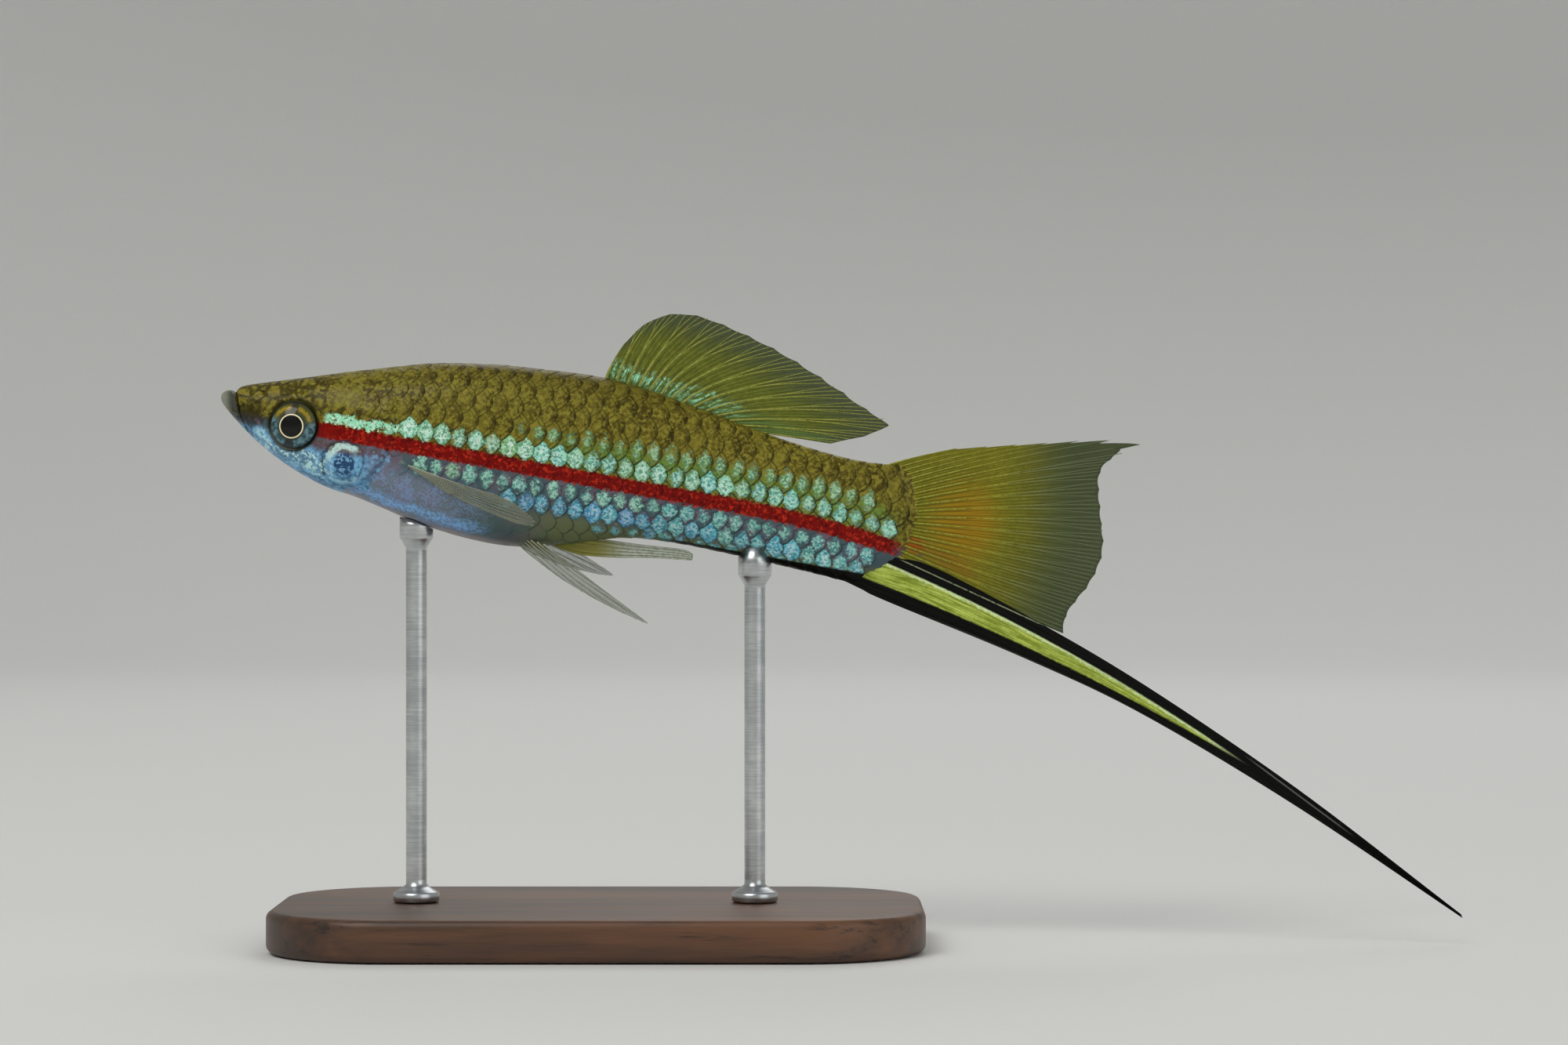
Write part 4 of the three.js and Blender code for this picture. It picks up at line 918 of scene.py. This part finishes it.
def forked_rays(name, spread, place, bow, finish, seed, plain_ends=(0, 0), root=RAY_ROOT, tip=RAY_TIP):
    """Rays that fork twice: a stem, then two branches, then four twigs to the rim. The offset from the ray's
    own line grows with a smooth step. Twigs vary a little in length, and plain rays don't fork."""
    point, count = spread
    draw = np.random.default_rng(seed)
    rows = []
    for number in range(count):
        plain = number < plain_ends[0] or number >= count - plain_ends[1]
        reach = 0.99 + 0.01 * draw.uniform(-1, 1, 4)
        rows.append((number, 0, 0, 0, reach[0] if plain else FORKS[0]))
        if not plain:
            rows += [(number, first, 0, *FORKS) for first in (-1, 1)]
            rows += [(number, first, second, FORKS[1], reach[first + (second + 3) // 2])
                     for first in (-1, 1) for second in (-1, 1)]
    number, first, second, start, end = np.array(rows)[:, :, None].transpose(1, 0, 2)
    v = start + (end - start) * np.linspace(0, 1, RAY_ROWS)
    ray = number + first * TWIG_OFFSETS[0] * ease(v, FORKS[0], 1.1)
    ray = ray + second * TWIG_OFFSETS[1] * ease(v, FORKS[1], 1.08)
    flat = point(np.clip(ray, 0, count - 1), v)
    line = place(flat, bow(*np.moveaxis(flat, -1, 0)))
    radius = (root + (tip - root) * v**0.8) * (1 - 0.3 * (v > FORKS[0])) * (1 - 0.2 * (v > FORKS[1]))
    return rods(name, line, radius, run_along(flat) + v * 9, finish)


def still(x, _):
    """No bow: the fin stays in its plane."""
    return 0 * x


def fin_map(start):
    """The fin's own map, as a vector and its two parts: across the rays, and along them."""
    own = start.node("UVMap", {}, uv_map="fin")
    return own, *parts(own)[:2]


def fin_finish(name, film_colour, paint, cover):
    """Fin film. Its paint function gives colour and how much it hides, from place and the fin's own map."""
    finish, start, place, x, z = fish_finish(name)
    own, lane, v = fin_map(start)
    fine = noise(place, 2.4, 4.0, 0.65)
    streak = noise(stretched(own, 4.0, 11.0, 0.0), 1.0, 3.0, 0.7)
    colour, hides = paint(film_colour, cover, streak, x, z, v, fine)
    lane = lane + (fine - 0.5) * 0.12
    twig_gap = abs((lane * 4 + 0.5).maths("FRACT") - 0.5).rise(0.3, 0.05) * v.rise(0.25, 0.5)
    ray_gap = abs((lane * 2).maths("FRACT") - 0.5).rise(0.3, 0.1) * v.rise(0.5, 0.3)
    colour = ((twig_gap + ray_gap) * 0.5).tint(colour, FILM_SHADE)
    close_finish(start, colour, 0.35, bump=fine, strength=0.1, depth=0.00004, alpha=hides,
                 Specular_IOR_Level=0.15)
    return finish


def ray_finish(name, colour, joint, joint_step=0.42, speck=0.5, paint=None):
    """Rays: pale bone with darker joints at even steps along each ray, and dark specks."""
    finish, start, place, x, z = fish_finish(name)
    _, lane, length = fin_map(start)
    fine = noise(place, 3.2, 3.0, 0.7)
    joints = abs((length / joint_step + lane * 0.37).maths("FRACT") - 0.5).rise(0.3, 0.46)
    shade = (joints * 0.42).tint(paint(colour, x, z, fine) if paint else colour, joint)
    shade = (fine.rise(0.56, 0.7) * speck).tint(shade, joint)
    close_finish(start, shade, 0.4, bump=1 - joints, strength=0.2, depth=0.00002, Specular_IOR_Level=0.3)
    return finish


def dorsal_film(colour, cover, streak, x, z, v, fine):
    """Olive film, clear grey at the margin, with mint patches over the base."""
    colour = ((fine * 0.5 + streak * 0.6).rise(0.46, 0.68) * 0.6).tint(colour, OLIVE_BRIGHT)
    colour = (v + (fine - 0.5) * 0.4).rise(0.55, 0.95).tint(colour, CLEAR_GREY)
    low = z - 8.3 + (x - 36) * 0.155 + (fine - 0.5) * 2.4
    mint = low.band(0.1, 1.7, 0.4) * streak.rise(0.47, 0.6) * x.rise(51, 46)
    colour = (low.rise(1.9, 0.6) * 0.5).tint(colour, DORSAL_GREEN)
    return mint.tint(colour, DORSAL_MINT), cover + mint * 0.1 - v.rise(0.7, 1.0) * 0.14


def tail_film(colour, cover, streak, x, z, _, fine):
    """Yellow-olive film with an orange patch at its lower front and a clear grey-green rear margin."""
    jitter = fine - 0.5
    colour = ((fine * 0.5 + streak * 0.6).rise(0.46, 0.68) * 0.6).tint(colour, YELLOW_BRIGHT)
    warm = near(x, z, (72, 0.4), (0.1, 0.07)) + jitter * 0.5
    colour = (warm.rise(1.5, 0.3) * 0.75).tint(colour, TAIL_ORANGE)
    colour = (x + jitter * 2 + abs(z) * 0.15).rise(75.5, 83).tint(colour, CLEAR_GREY)
    root = near(x, z + 2.3 + (x - 67) * 0.2, (67.6, 0), (0.3, 1)) + jitter * 1.2
    colour = (root.rise(1.1, 0.3) * 0.8).tint(colour, TAIL_RUST)
    low_warm = abs(z + 3.0 + (x - 70) * 0.32) + jitter * 0.8
    colour = (low_warm.rise(1.2, 0.2) * x.band(68.5, 74, 1.5) * 0.45).tint(colour, TAIL_BROWN)
    return colour, cover - x.rise(78, 85) * 0.12


def dorsal_rays(colour, _x, _z, fine):
    """Olive rays with bright yellow lengths."""
    return fine.rise(0.4, 0.66).tint(colour, DORSAL_YELLOW)


def tail_rays(colour, x, z, fine):
    """Yellow rays that turn grey-green towards the rear margin."""
    bright = fine.rise(0.4, 0.66).tint(colour, TAIL_YELLOW)
    return (x + abs(z) * 0.15).rise(74, 82).tint(bright, TAIL_GREY)


FILM_SHADE, CLEAR_GREY, OLIVE_BRIGHT, YELLOW_BRIGHT = tones("34380f 4d5835 868c30 949228")
DORSAL_OLIVE, DORSAL_GREEN, DORSAL_MINT = tones("666d23 5f8a4c a4e8bc")
DORSAL_BONE, DORSAL_YELLOW, DORSAL_JOINT = tones("8b9036 b6b851 343612")
TAIL_OLIVE, TAIL_ORANGE, TAIL_RUST, TAIL_BROWN = tones("77741a b0820a a8460f 9a6410")
TAIL_BONE, TAIL_YELLOW, TAIL_GREY, TAIL_JOINT = tones("868722 b6b43a 717c58 4a470f")
DORSAL_FILM = fin_finish("dorsal_film", DORSAL_OLIVE, dorsal_film, 0.92)
DORSAL_RAY = ray_finish("dorsal_rays", DORSAL_BONE, DORSAL_JOINT, speck=0.45, paint=dorsal_rays)
TAIL_FILM = fin_finish("tail_film", TAIL_OLIVE, tail_film, 0.94)
TAIL_RAY = ray_finish("tail_rays", TAIL_BONE, TAIL_JOINT, paint=tail_rays)


def dorsal_fin():
    """Rays rooted along the back, their tips along the margin, then round the fin's rear corner."""
    tips = np.concatenate([smooth_line(DORSAL_MARGIN, 12), DORSAL_REAR])
    x = np.linspace(*DORSAL_ROOTS, len(tips))
    spread = fan(np.stack([x, along(BACK, x) - DORSAL_SUNK], axis=-1), tips, (0.25, 0.55))

    def bow(_, z):
        return 0.5 * np.sin((z - 6) / 5) * ease(z, 6, 12)

    shape = spread, upright, bow
    for piece in (film("dorsal_fin_film", *shape, DORSAL_FILM, notch=0.014),
                  forked_rays("dorsal_fin_rays", *shape, DORSAL_RAY, 51, plain_ends=(1, 0), root=0.15)):
        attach(piece, "root")
        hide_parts("dorsal_fin")


def tail_fin():
    """Short rays end along the upper edge, then long ones along the rear margin down to the sword."""
    tips = np.concatenate([smooth_line(TAIL_TOP, 7), smooth_line(TAIL_REAR, 12)])
    spread = fan(smooth_line(TAIL_ROOTS, len(tips)), tips, (0.4, 0.5))

    def bow(x, z):
        return 0.4 * np.sin(z / 2.6 + x / 7) * ease(x, 67, 80)

    shape = spread, upright, bow
    for piece in (film("tail_fin_film", *shape, TAIL_FILM, stepped=7),
                  forked_rays("tail_fin_rays", *shape, TAIL_RAY, 52, plain_ends=(7, 0))):
        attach(piece, "root")
        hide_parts("caudal_fin")


dorsal_fin()
tail_fin()

# Sword and gonopodium
# The sword is the tail fin's lower rays, grown long and bound side by side: lime green between two black
# bands. The gonopodium is the anal fin's rays, bound into a slim rod with a small hook at its tip.
SWORD_TOP = ((60, -3.6), (66, -3.95), (70, -4.25), (80, -7.4), (92, -11.9), (108, -19.1), (125.4, -28.15))
SWORD_BOTTOM = ((60, -6.5), (63.5, -7.5), (66, -8.2), (80, -11.3), (92, -14.6), (108, -20.7), SWORD_TIP)
GONOPODIUM_TOP = ((33, -7.5), (38, -7.1), (42, -6.95), (46, -6.72), (47.1, -6.98))
GONOPODIUM_BOTTOM = ((33, -8.3), (35, -8.8), (37, -8.92), (40, -8.6), (43, -8.1), (47.1, -7.6))
LINE_POINTS, LENS_EDGE, BLADE_TAPER = 400, 0.25, 0.45


def lanes(top, bottom, count):
    """A function of ray number and v: a share of the way from the upper line to the lower line at v."""
    lines = smooth_line(top, LINE_POINTS), smooth_line(bottom, LINE_POINTS)
    places = np.linspace(0, 1, LINE_POINTS)

    def point(ray, v):
        ray, v = np.broadcast_arrays(ray, v)
        at_top, at_bottom = [between(line, places, v) for line in lines]
        return at_top + (at_bottom - at_top) * (ray / (count - 1))[..., None]

    return point, count


def ribbed_blade(name, spread, bow, half, rib, finish, start_v, rows=260, steps=10):
    """A closed blade of bound rays: half its thickness is a lens across it, with a rib on each ray."""
    point, count = spread
    ray = np.linspace(0, count - 1, (count - 1) * steps + 1)[:, None]
    v = start_v + (1 - start_v) * np.linspace(0, 1, rows)[None, :]
    share = ray / (count - 1)
    lens = np.sqrt(np.maximum(1 - (2 * share - 1) ** 2, 0.0)) * (1 - LENS_EDGE) + LENS_EDGE
    thick = (half * lens + rib * np.cos(pi * (ray % 1)) ** 2) * (1 - BLADE_TAPER * v)
    return sheet(name, point(ray, v), upright, bow, thick, (share, v), finish)


def sword_finish():
    """Black with a lime band over fine pale streaks. Its edges are two curves of x, and it ends at x 103."""
    finish, start, place, x, z = fish_finish("sword_rays")
    own, share, _ = fin_map(start)
    fine = noise(place, 3.0, 4.0, 0.7)
    jitter = fine - 0.5
    streaks = noise(stretched(own, 26.0, 22.0, 0.0), 1.0, 3.0, 0.6)
    back = x - 66
    upper = -4.75 - back * 0.232 - back * back * 0.0032
    lower = -6.85 - back * 0.205 - back * back * 0.0024
    edge = jitter * 0.14
    above = (z - lower + edge).rise(-0.1, 0.1)
    below = (upper - z + edge).rise(-0.08, 0.12)
    lime = above * below * (x + jitter * 2).rise(103.5, 98)
    green = (streaks + fine * 0.3).rise(0.48, 0.86).tint(LIME_DEEP, LIME)
    green = ((upper - z) / 1.6 + jitter * 0.6).rise(0.25, 0.02).tint(green, LIME_PALE)
    colour = lime.tint((streaks.rise(0.5, 0.8) * 0.5).tint(SWORD_BLACK, SWORD_GREY), green)
    hair = abs(z - (-4.15 - (x - 67) * 0.262)).rise(0.09, 0.02) * x.band(67, 81, 0.6) * fine.rise(0.36, 0.5)
    colour = (hair * 0.7).tint(colour, SWORD_HAIR)
    colour = (share.rise(0.95, 0.99) * x.rise(68, 74) * 0.5).tint(colour, SWORD_UNDER)
    thin_pale = abs(z - (-17.6 - (x - 104) * 0.5)).rise(0.12, 0.03) * x.band(103.5, 113, 1.5)
    colour = (thin_pale * 0.6).tint(colour, SWORD_THREAD)
    close_finish(start, colour, 0.4, bump=streaks, strength=0.2, depth=0.00005, Specular_IOR_Level=0.12)
    return finish


SWORD_BLACK, SWORD_GREY, LIME_DEEP, LIME, LIME_PALE = tones("040503 1d1f18 82922c c6d766 dff2b4")
SWORD_HAIR, SWORD_UNDER, SWORD_THREAD = tones("a9b18c 4a5146 7c8078")


def sword():
    """The whole sword from inside the tail root to its tip."""
    spread = lanes(SWORD_TOP, SWORD_BOTTOM, 9)

    def bow(x, _):
        return 0.5 * np.sin((x - 66) / 19)

    piece = ribbed_blade("sword", spread, bow, 0.28, 0.08, sword_finish(), 0.0)
    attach(piece, "root")
    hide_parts("sword")


def gonopodium_finish():
    """Whitish bound rays with a yellow base and darker seams between rays."""
    finish, start, place, x, _ = fish_finish("gonopodium_rays")
    _, share, _ = fin_map(start)
    fine = noise(place, 3.0, 4.0, 0.7)
    seam = abs((share * 5).maths("FRACT") - 0.5).rise(0.3, 0.5)
    colour = (fine + seam * 0.3).rise(0.4, 0.75).tint(BOUND_WHITE, BOUND_GREY)
    colour = (seam * 0.55).tint(colour, BOUND_SEAM)
    colour = (x + (fine - 0.5) * 2).rise(41.5, 37.5).tint(colour, BOUND_YELLOW)
    hides = 0.95 - share.rise(0.2, 0.0) * 0.3
    close_finish(start, colour, 0.36, bump=fine, strength=0.15, depth=0.00004, alpha=hides, Coat_Weight=0.2)
    return finish


BOUND_WHITE, BOUND_GREY, BOUND_SEAM, BOUND_YELLOW = tones("c4cabc 8a927c 5c6350 8c8a3a")


def gonopodium():
    """Five bound rays, lens-shaped across."""
    spread = lanes(GONOPODIUM_TOP, GONOPODIUM_BOTTOM, 6)
    piece = ribbed_blade("gonopodium", spread, still, 0.34, 0.1, gonopodium_finish(), 0.02, rows=120)
    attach(piece, "root")
    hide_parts("gonopodium")


sword()
gonopodium()

# Pectoral and pelvic fins
# Soft paired fins, nearly clear, with fine pale rays. Each is drawn flat and then set on its side of the
# body: turned down by its droop, out by its spread, and over by its roll.
PECTORAL_ROOT, PECTORAL_AT = ((-0.9, 0.62), (-0.9, -0.62)), (20.1, 4.3, -3.9)
PECTORAL_MARGIN = ((8.7, 1.95), (11, 1.25), (12.4, -0.4), (12.3, -1.7), (10.6, -2.2))
PECTORAL_POSES = {"left": (10, 16, 58, 1.0), "right": (12, 20, 58, 1.0)}
PELVIC_ROOT, PELVIC_AT = ((-1.9, -0.75), (2, 0.95)), (31, 1.7, -8.3)
PELVIC_TIPS = ((1.4, -1.45), (5, -1.6), (8.8, -1.4), (11.9, -1.05), (14.4, -0.45), (9.6, 0.3), (5.6, 0.85))
PELVIC_POSES = {"left": (23, 8, 42, 1.0), "right": (8, 48, 25, 0.88)}


def paired_place(at, droop, spread, roll, side):
    """Carries [a, b] and the distance off the fin to the fish: a runs back along it and b across it."""
    down, out, lean = radians(droop), radians(spread), radians(roll)
    backward = np.array((cos(down) * cos(out), side * cos(down) * sin(out), -sin(down)))
    aside = np.array((-sin(out), side * cos(out), 0.0))
    upward = np.cross(backward, aside) * side
    across = upward * cos(lean) + aside * sin(lean)
    normal = np.cross(backward, across)
    origin = np.array((at[0], side * at[1], at[2]))

    def place(points, off):
        return origin + points[..., :1] * backward + points[..., 1:] * across + off[..., None] * normal

    return place


def clear_film(colour, cover, _streak, _x, _z, v, fine):
    """Nearly clear film with an olive base."""
    base = v.rise(0.3, 0.05)
    return base.tint(colour, CLEAR_OLIVE), cover + base * 0.3 + (fine - 0.5) * 0.2


CLEAR_PALE, CLEAR_OLIVE, CLEAR_BONE, CLEAR_JOINT = tones("8d9888 6d6c33 a8ad98 4c5142")
CLEAR_FILM = fin_finish("clear_film", CLEAR_PALE, clear_film, 0.3)
CLEAR_RAY = ray_finish("clear_rays", CLEAR_BONE, CLEAR_JOINT, joint_step=0.5, speck=0.3)


def paired_fin(kind, which, root, tips, at, pose, bend, notch, bend_off):
    """One film and its rays on one side of the fish."""
    droop, out, roll, length = pose
    side = -1 if which == "left" else 1
    place = paired_place(at, droop, out, roll, side)
    spread = fan(smooth_line(root, len(tips)), np.array(tips) * (length, 1), bend)

    def bow(a, _):
        return bend_off * np.sin(a / 4)

    node = f"{kind}_fin_{which}"
    for piece in (film(node + "_film", spread, place, bow, CLEAR_FILM, notch=notch, half=0.035),
                  forked_rays(node + "_rays", spread, place, bow, CLEAR_RAY, 53, root=0.085, tip=0.035)):
        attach(piece, "root")
        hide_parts(node)


for which in ("left", "right"):
    paired_fin("pectoral", which, PECTORAL_ROOT, smooth_line(PECTORAL_MARGIN, 11), PECTORAL_AT,
               PECTORAL_POSES[which], (0.5, 0.5), 0.03, 0.3)
    paired_fin("pelvic", which, PELVIC_ROOT, PELVIC_TIPS, PELVIC_AT,
               PELVIC_POSES[which], (0.4, 0.6), 0.02, 0.25)

# Stand
# A flat base of dark oiled wood, with two turned steel rods. Each has a collar on the base and a cradle at
# its top, hollowed to the belly that rests in it.
BASE_LENGTH, BASE_WIDTH, BASE_HEIGHT, BASE_CORNER, BASE_ROUND = 62.0, 38.0, 4.0, 12.0, 0.8
ROD_RADIUS, COLLAR_RADIUS, COLLAR_HEIGHT, CRADLE_RADIUS, CRADLE_HEIGHT = 1.0, 2.2, 1.4, 1.6, 1.6
JOINT_GAP, CRADLE_LIP, FREE = 0.05, 1.2, 99
BASE_SIDES, ROD_SIDES = 96, 48
WOOD, WOOD_PALE, WOOD_PORE, STEEL_GREY, STEEL_PALE = tones("3a2416 6b4529 1c110a b2b5b7 d6d8d9")


def wood_finish():
    """Dark walnut: rings drawn out along the board, with fine pores."""
    finish, start = new_finish("dark_wood")
    figure = noise(stretched(start, 18.0, 150.0, 150.0), 1.0, 3.0, 0.6)
    grain = noise(stretched(start, 60.0, 700.0, 900.0), 1.0, 4.0, 0.7)
    colour = (figure * 0.8 + grain * 0.4).rise(0.45, 0.8).tint(WOOD, WOOD_PALE)
    colour = (grain.rise(0.44, 0.34) * 0.7).tint(colour, WOOD_PORE)
    rough = 0.42 + grain * 0.15
    close_finish(start, colour, rough, bump=grain, strength=0.25, Coat_Weight=0.15, Coat_Roughness=0.3)
    return finish


def steel_finish():
    """Brushed steel: fine scratches round the rod, with a faint cloud of wear."""
    finish, start = new_finish("steel_rod")
    scratch = noise(stretched(start, 300.0, 300.0, 9000.0), 1.0, 3.0, 0.7)
    cloud = noise(start, 500.0, 3.0)
    colour = (scratch * 0.6 + cloud * 0.5).rise(0.4, 0.75).tint(STEEL_GREY, STEEL_PALE)
    rough = 0.24 + scratch * 0.12
    close_finish(start, colour, rough, bump=scratch, strength=0.05, depth=0.00001, Metallic=1.0)
    return finish


def base():
    """A rectangle with round corners, drawn in by a quarter circle at its upper and lower edges."""
    quarter = np.linspace(0, pi / 2, 7)
    inset, up = BASE_ROUND * (1 - np.sin(quarter)), BASE_ROUND * (1 - np.cos(quarter))
    inset, up = np.concatenate([inset, inset[::-1]]), np.concatenate([up, BASE_HEIGHT - up[::-1]])
    turn = np.linspace(0, 2 * pi, BASE_SIDES, endpoint=False) + pi / BASE_SIDES
    middle = [(size / 2 - BASE_CORNER) * np.sign(part(turn))
              for size, part in ((BASE_LENGTH, np.cos), (BASE_WIDTH, np.sin))]
    rings = turned(BASE_CORNER - inset, up, turn, middle).reshape(-1, 3)
    points = np.concatenate([rings, [[0, 0, 0], [0, 0, BASE_HEIGHT]]]) * 0.001
    piece = mesh_piece("display_base", points, closed_tube(len(up), BASE_SIDES), wood_finish())
    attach(piece, "root")
    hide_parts("stand_base")


def belly_over(x, y):
    """Height of the belly over a place on the stand, from its lower half section, found in three steps."""
    height = RISE + 0 * (x + y)
    for _ in range(3):
        back = (x - SHIFT) * cos(FISH_PITCH) - (height - RISE) * sin(FISH_PITCH)
        low, high, half = along(BELLY, back), along(BACK, back), along(HALF_WIDTH, back)
        widest, n = low + (high - low) * along(WIDEST, back), along(SQUARE_BELOW, back)
        drop = (1 - np.clip(np.abs(y) / half, 0, 1) ** n) ** (1 / n)
        height = RISE + pitched(back, widest - (widest - low) * drop)[1]
    return height


def rod(name, fish_x, finish):
    """A turned profile from the collar up to the cradle, whose hollow top follows the belly. The points that
    are left free come down to the belly."""
    x, under = pitched(fish_x, along(BELLY, np.array(fish_x)))
    foot, top = BASE_HEIGHT + JOINT_GAP, under + RISE
    neck = top - CRADLE_HEIGHT
    out, up = np.array((
        (COLLAR_RADIUS - 0.2, foot), (COLLAR_RADIUS, foot + 0.15), (COLLAR_RADIUS, foot + 0.85),
        (COLLAR_RADIUS - 0.15, foot + 1.0), (ROD_RADIUS + 0.35, foot + COLLAR_HEIGHT),
        (ROD_RADIUS, foot + 1.7), (ROD_RADIUS, foot + 2.2), (ROD_RADIUS, neck - 1.1),
        (ROD_RADIUS, neck - 0.8), (CRADLE_RADIUS - 0.12, neck), (CRADLE_RADIUS, neck + 0.2),
        (CRADLE_RADIUS, top - 0.3),
        (CRADLE_RADIUS, FREE), (CRADLE_RADIUS - 0.12, FREE), (1.1, FREE), (0.7, FREE), (0.3, FREE),
    )).T
    rings = turned(out, up, np.linspace(0, 2 * pi, ROD_SIDES, endpoint=False), (x + SHIFT, 0))
    under_fish = np.minimum(belly_over(rings[..., 0], rings[..., 1]) - JOINT_GAP, top + CRADLE_LIP)
    rings[..., 2] = np.minimum(rings[..., 2], under_fish)
    ends = [[x + SHIFT, 0, foot], [x + SHIFT, 0, rings[-1, :, 2].mean()]]
    points = np.concatenate([rings.reshape(-1, 3), ends]) * 0.001
    piece = mesh_piece(name, points, closed_tube(len(out), ROD_SIDES), finish)
    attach(piece, "root")
    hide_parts(name.replace("display", "stand"))


base()
STEEL = steel_finish()
rod("display_rod_front", ROD_PLACES[0], STEEL)
rod("display_rod_rear", ROD_PLACES[1], STEEL)
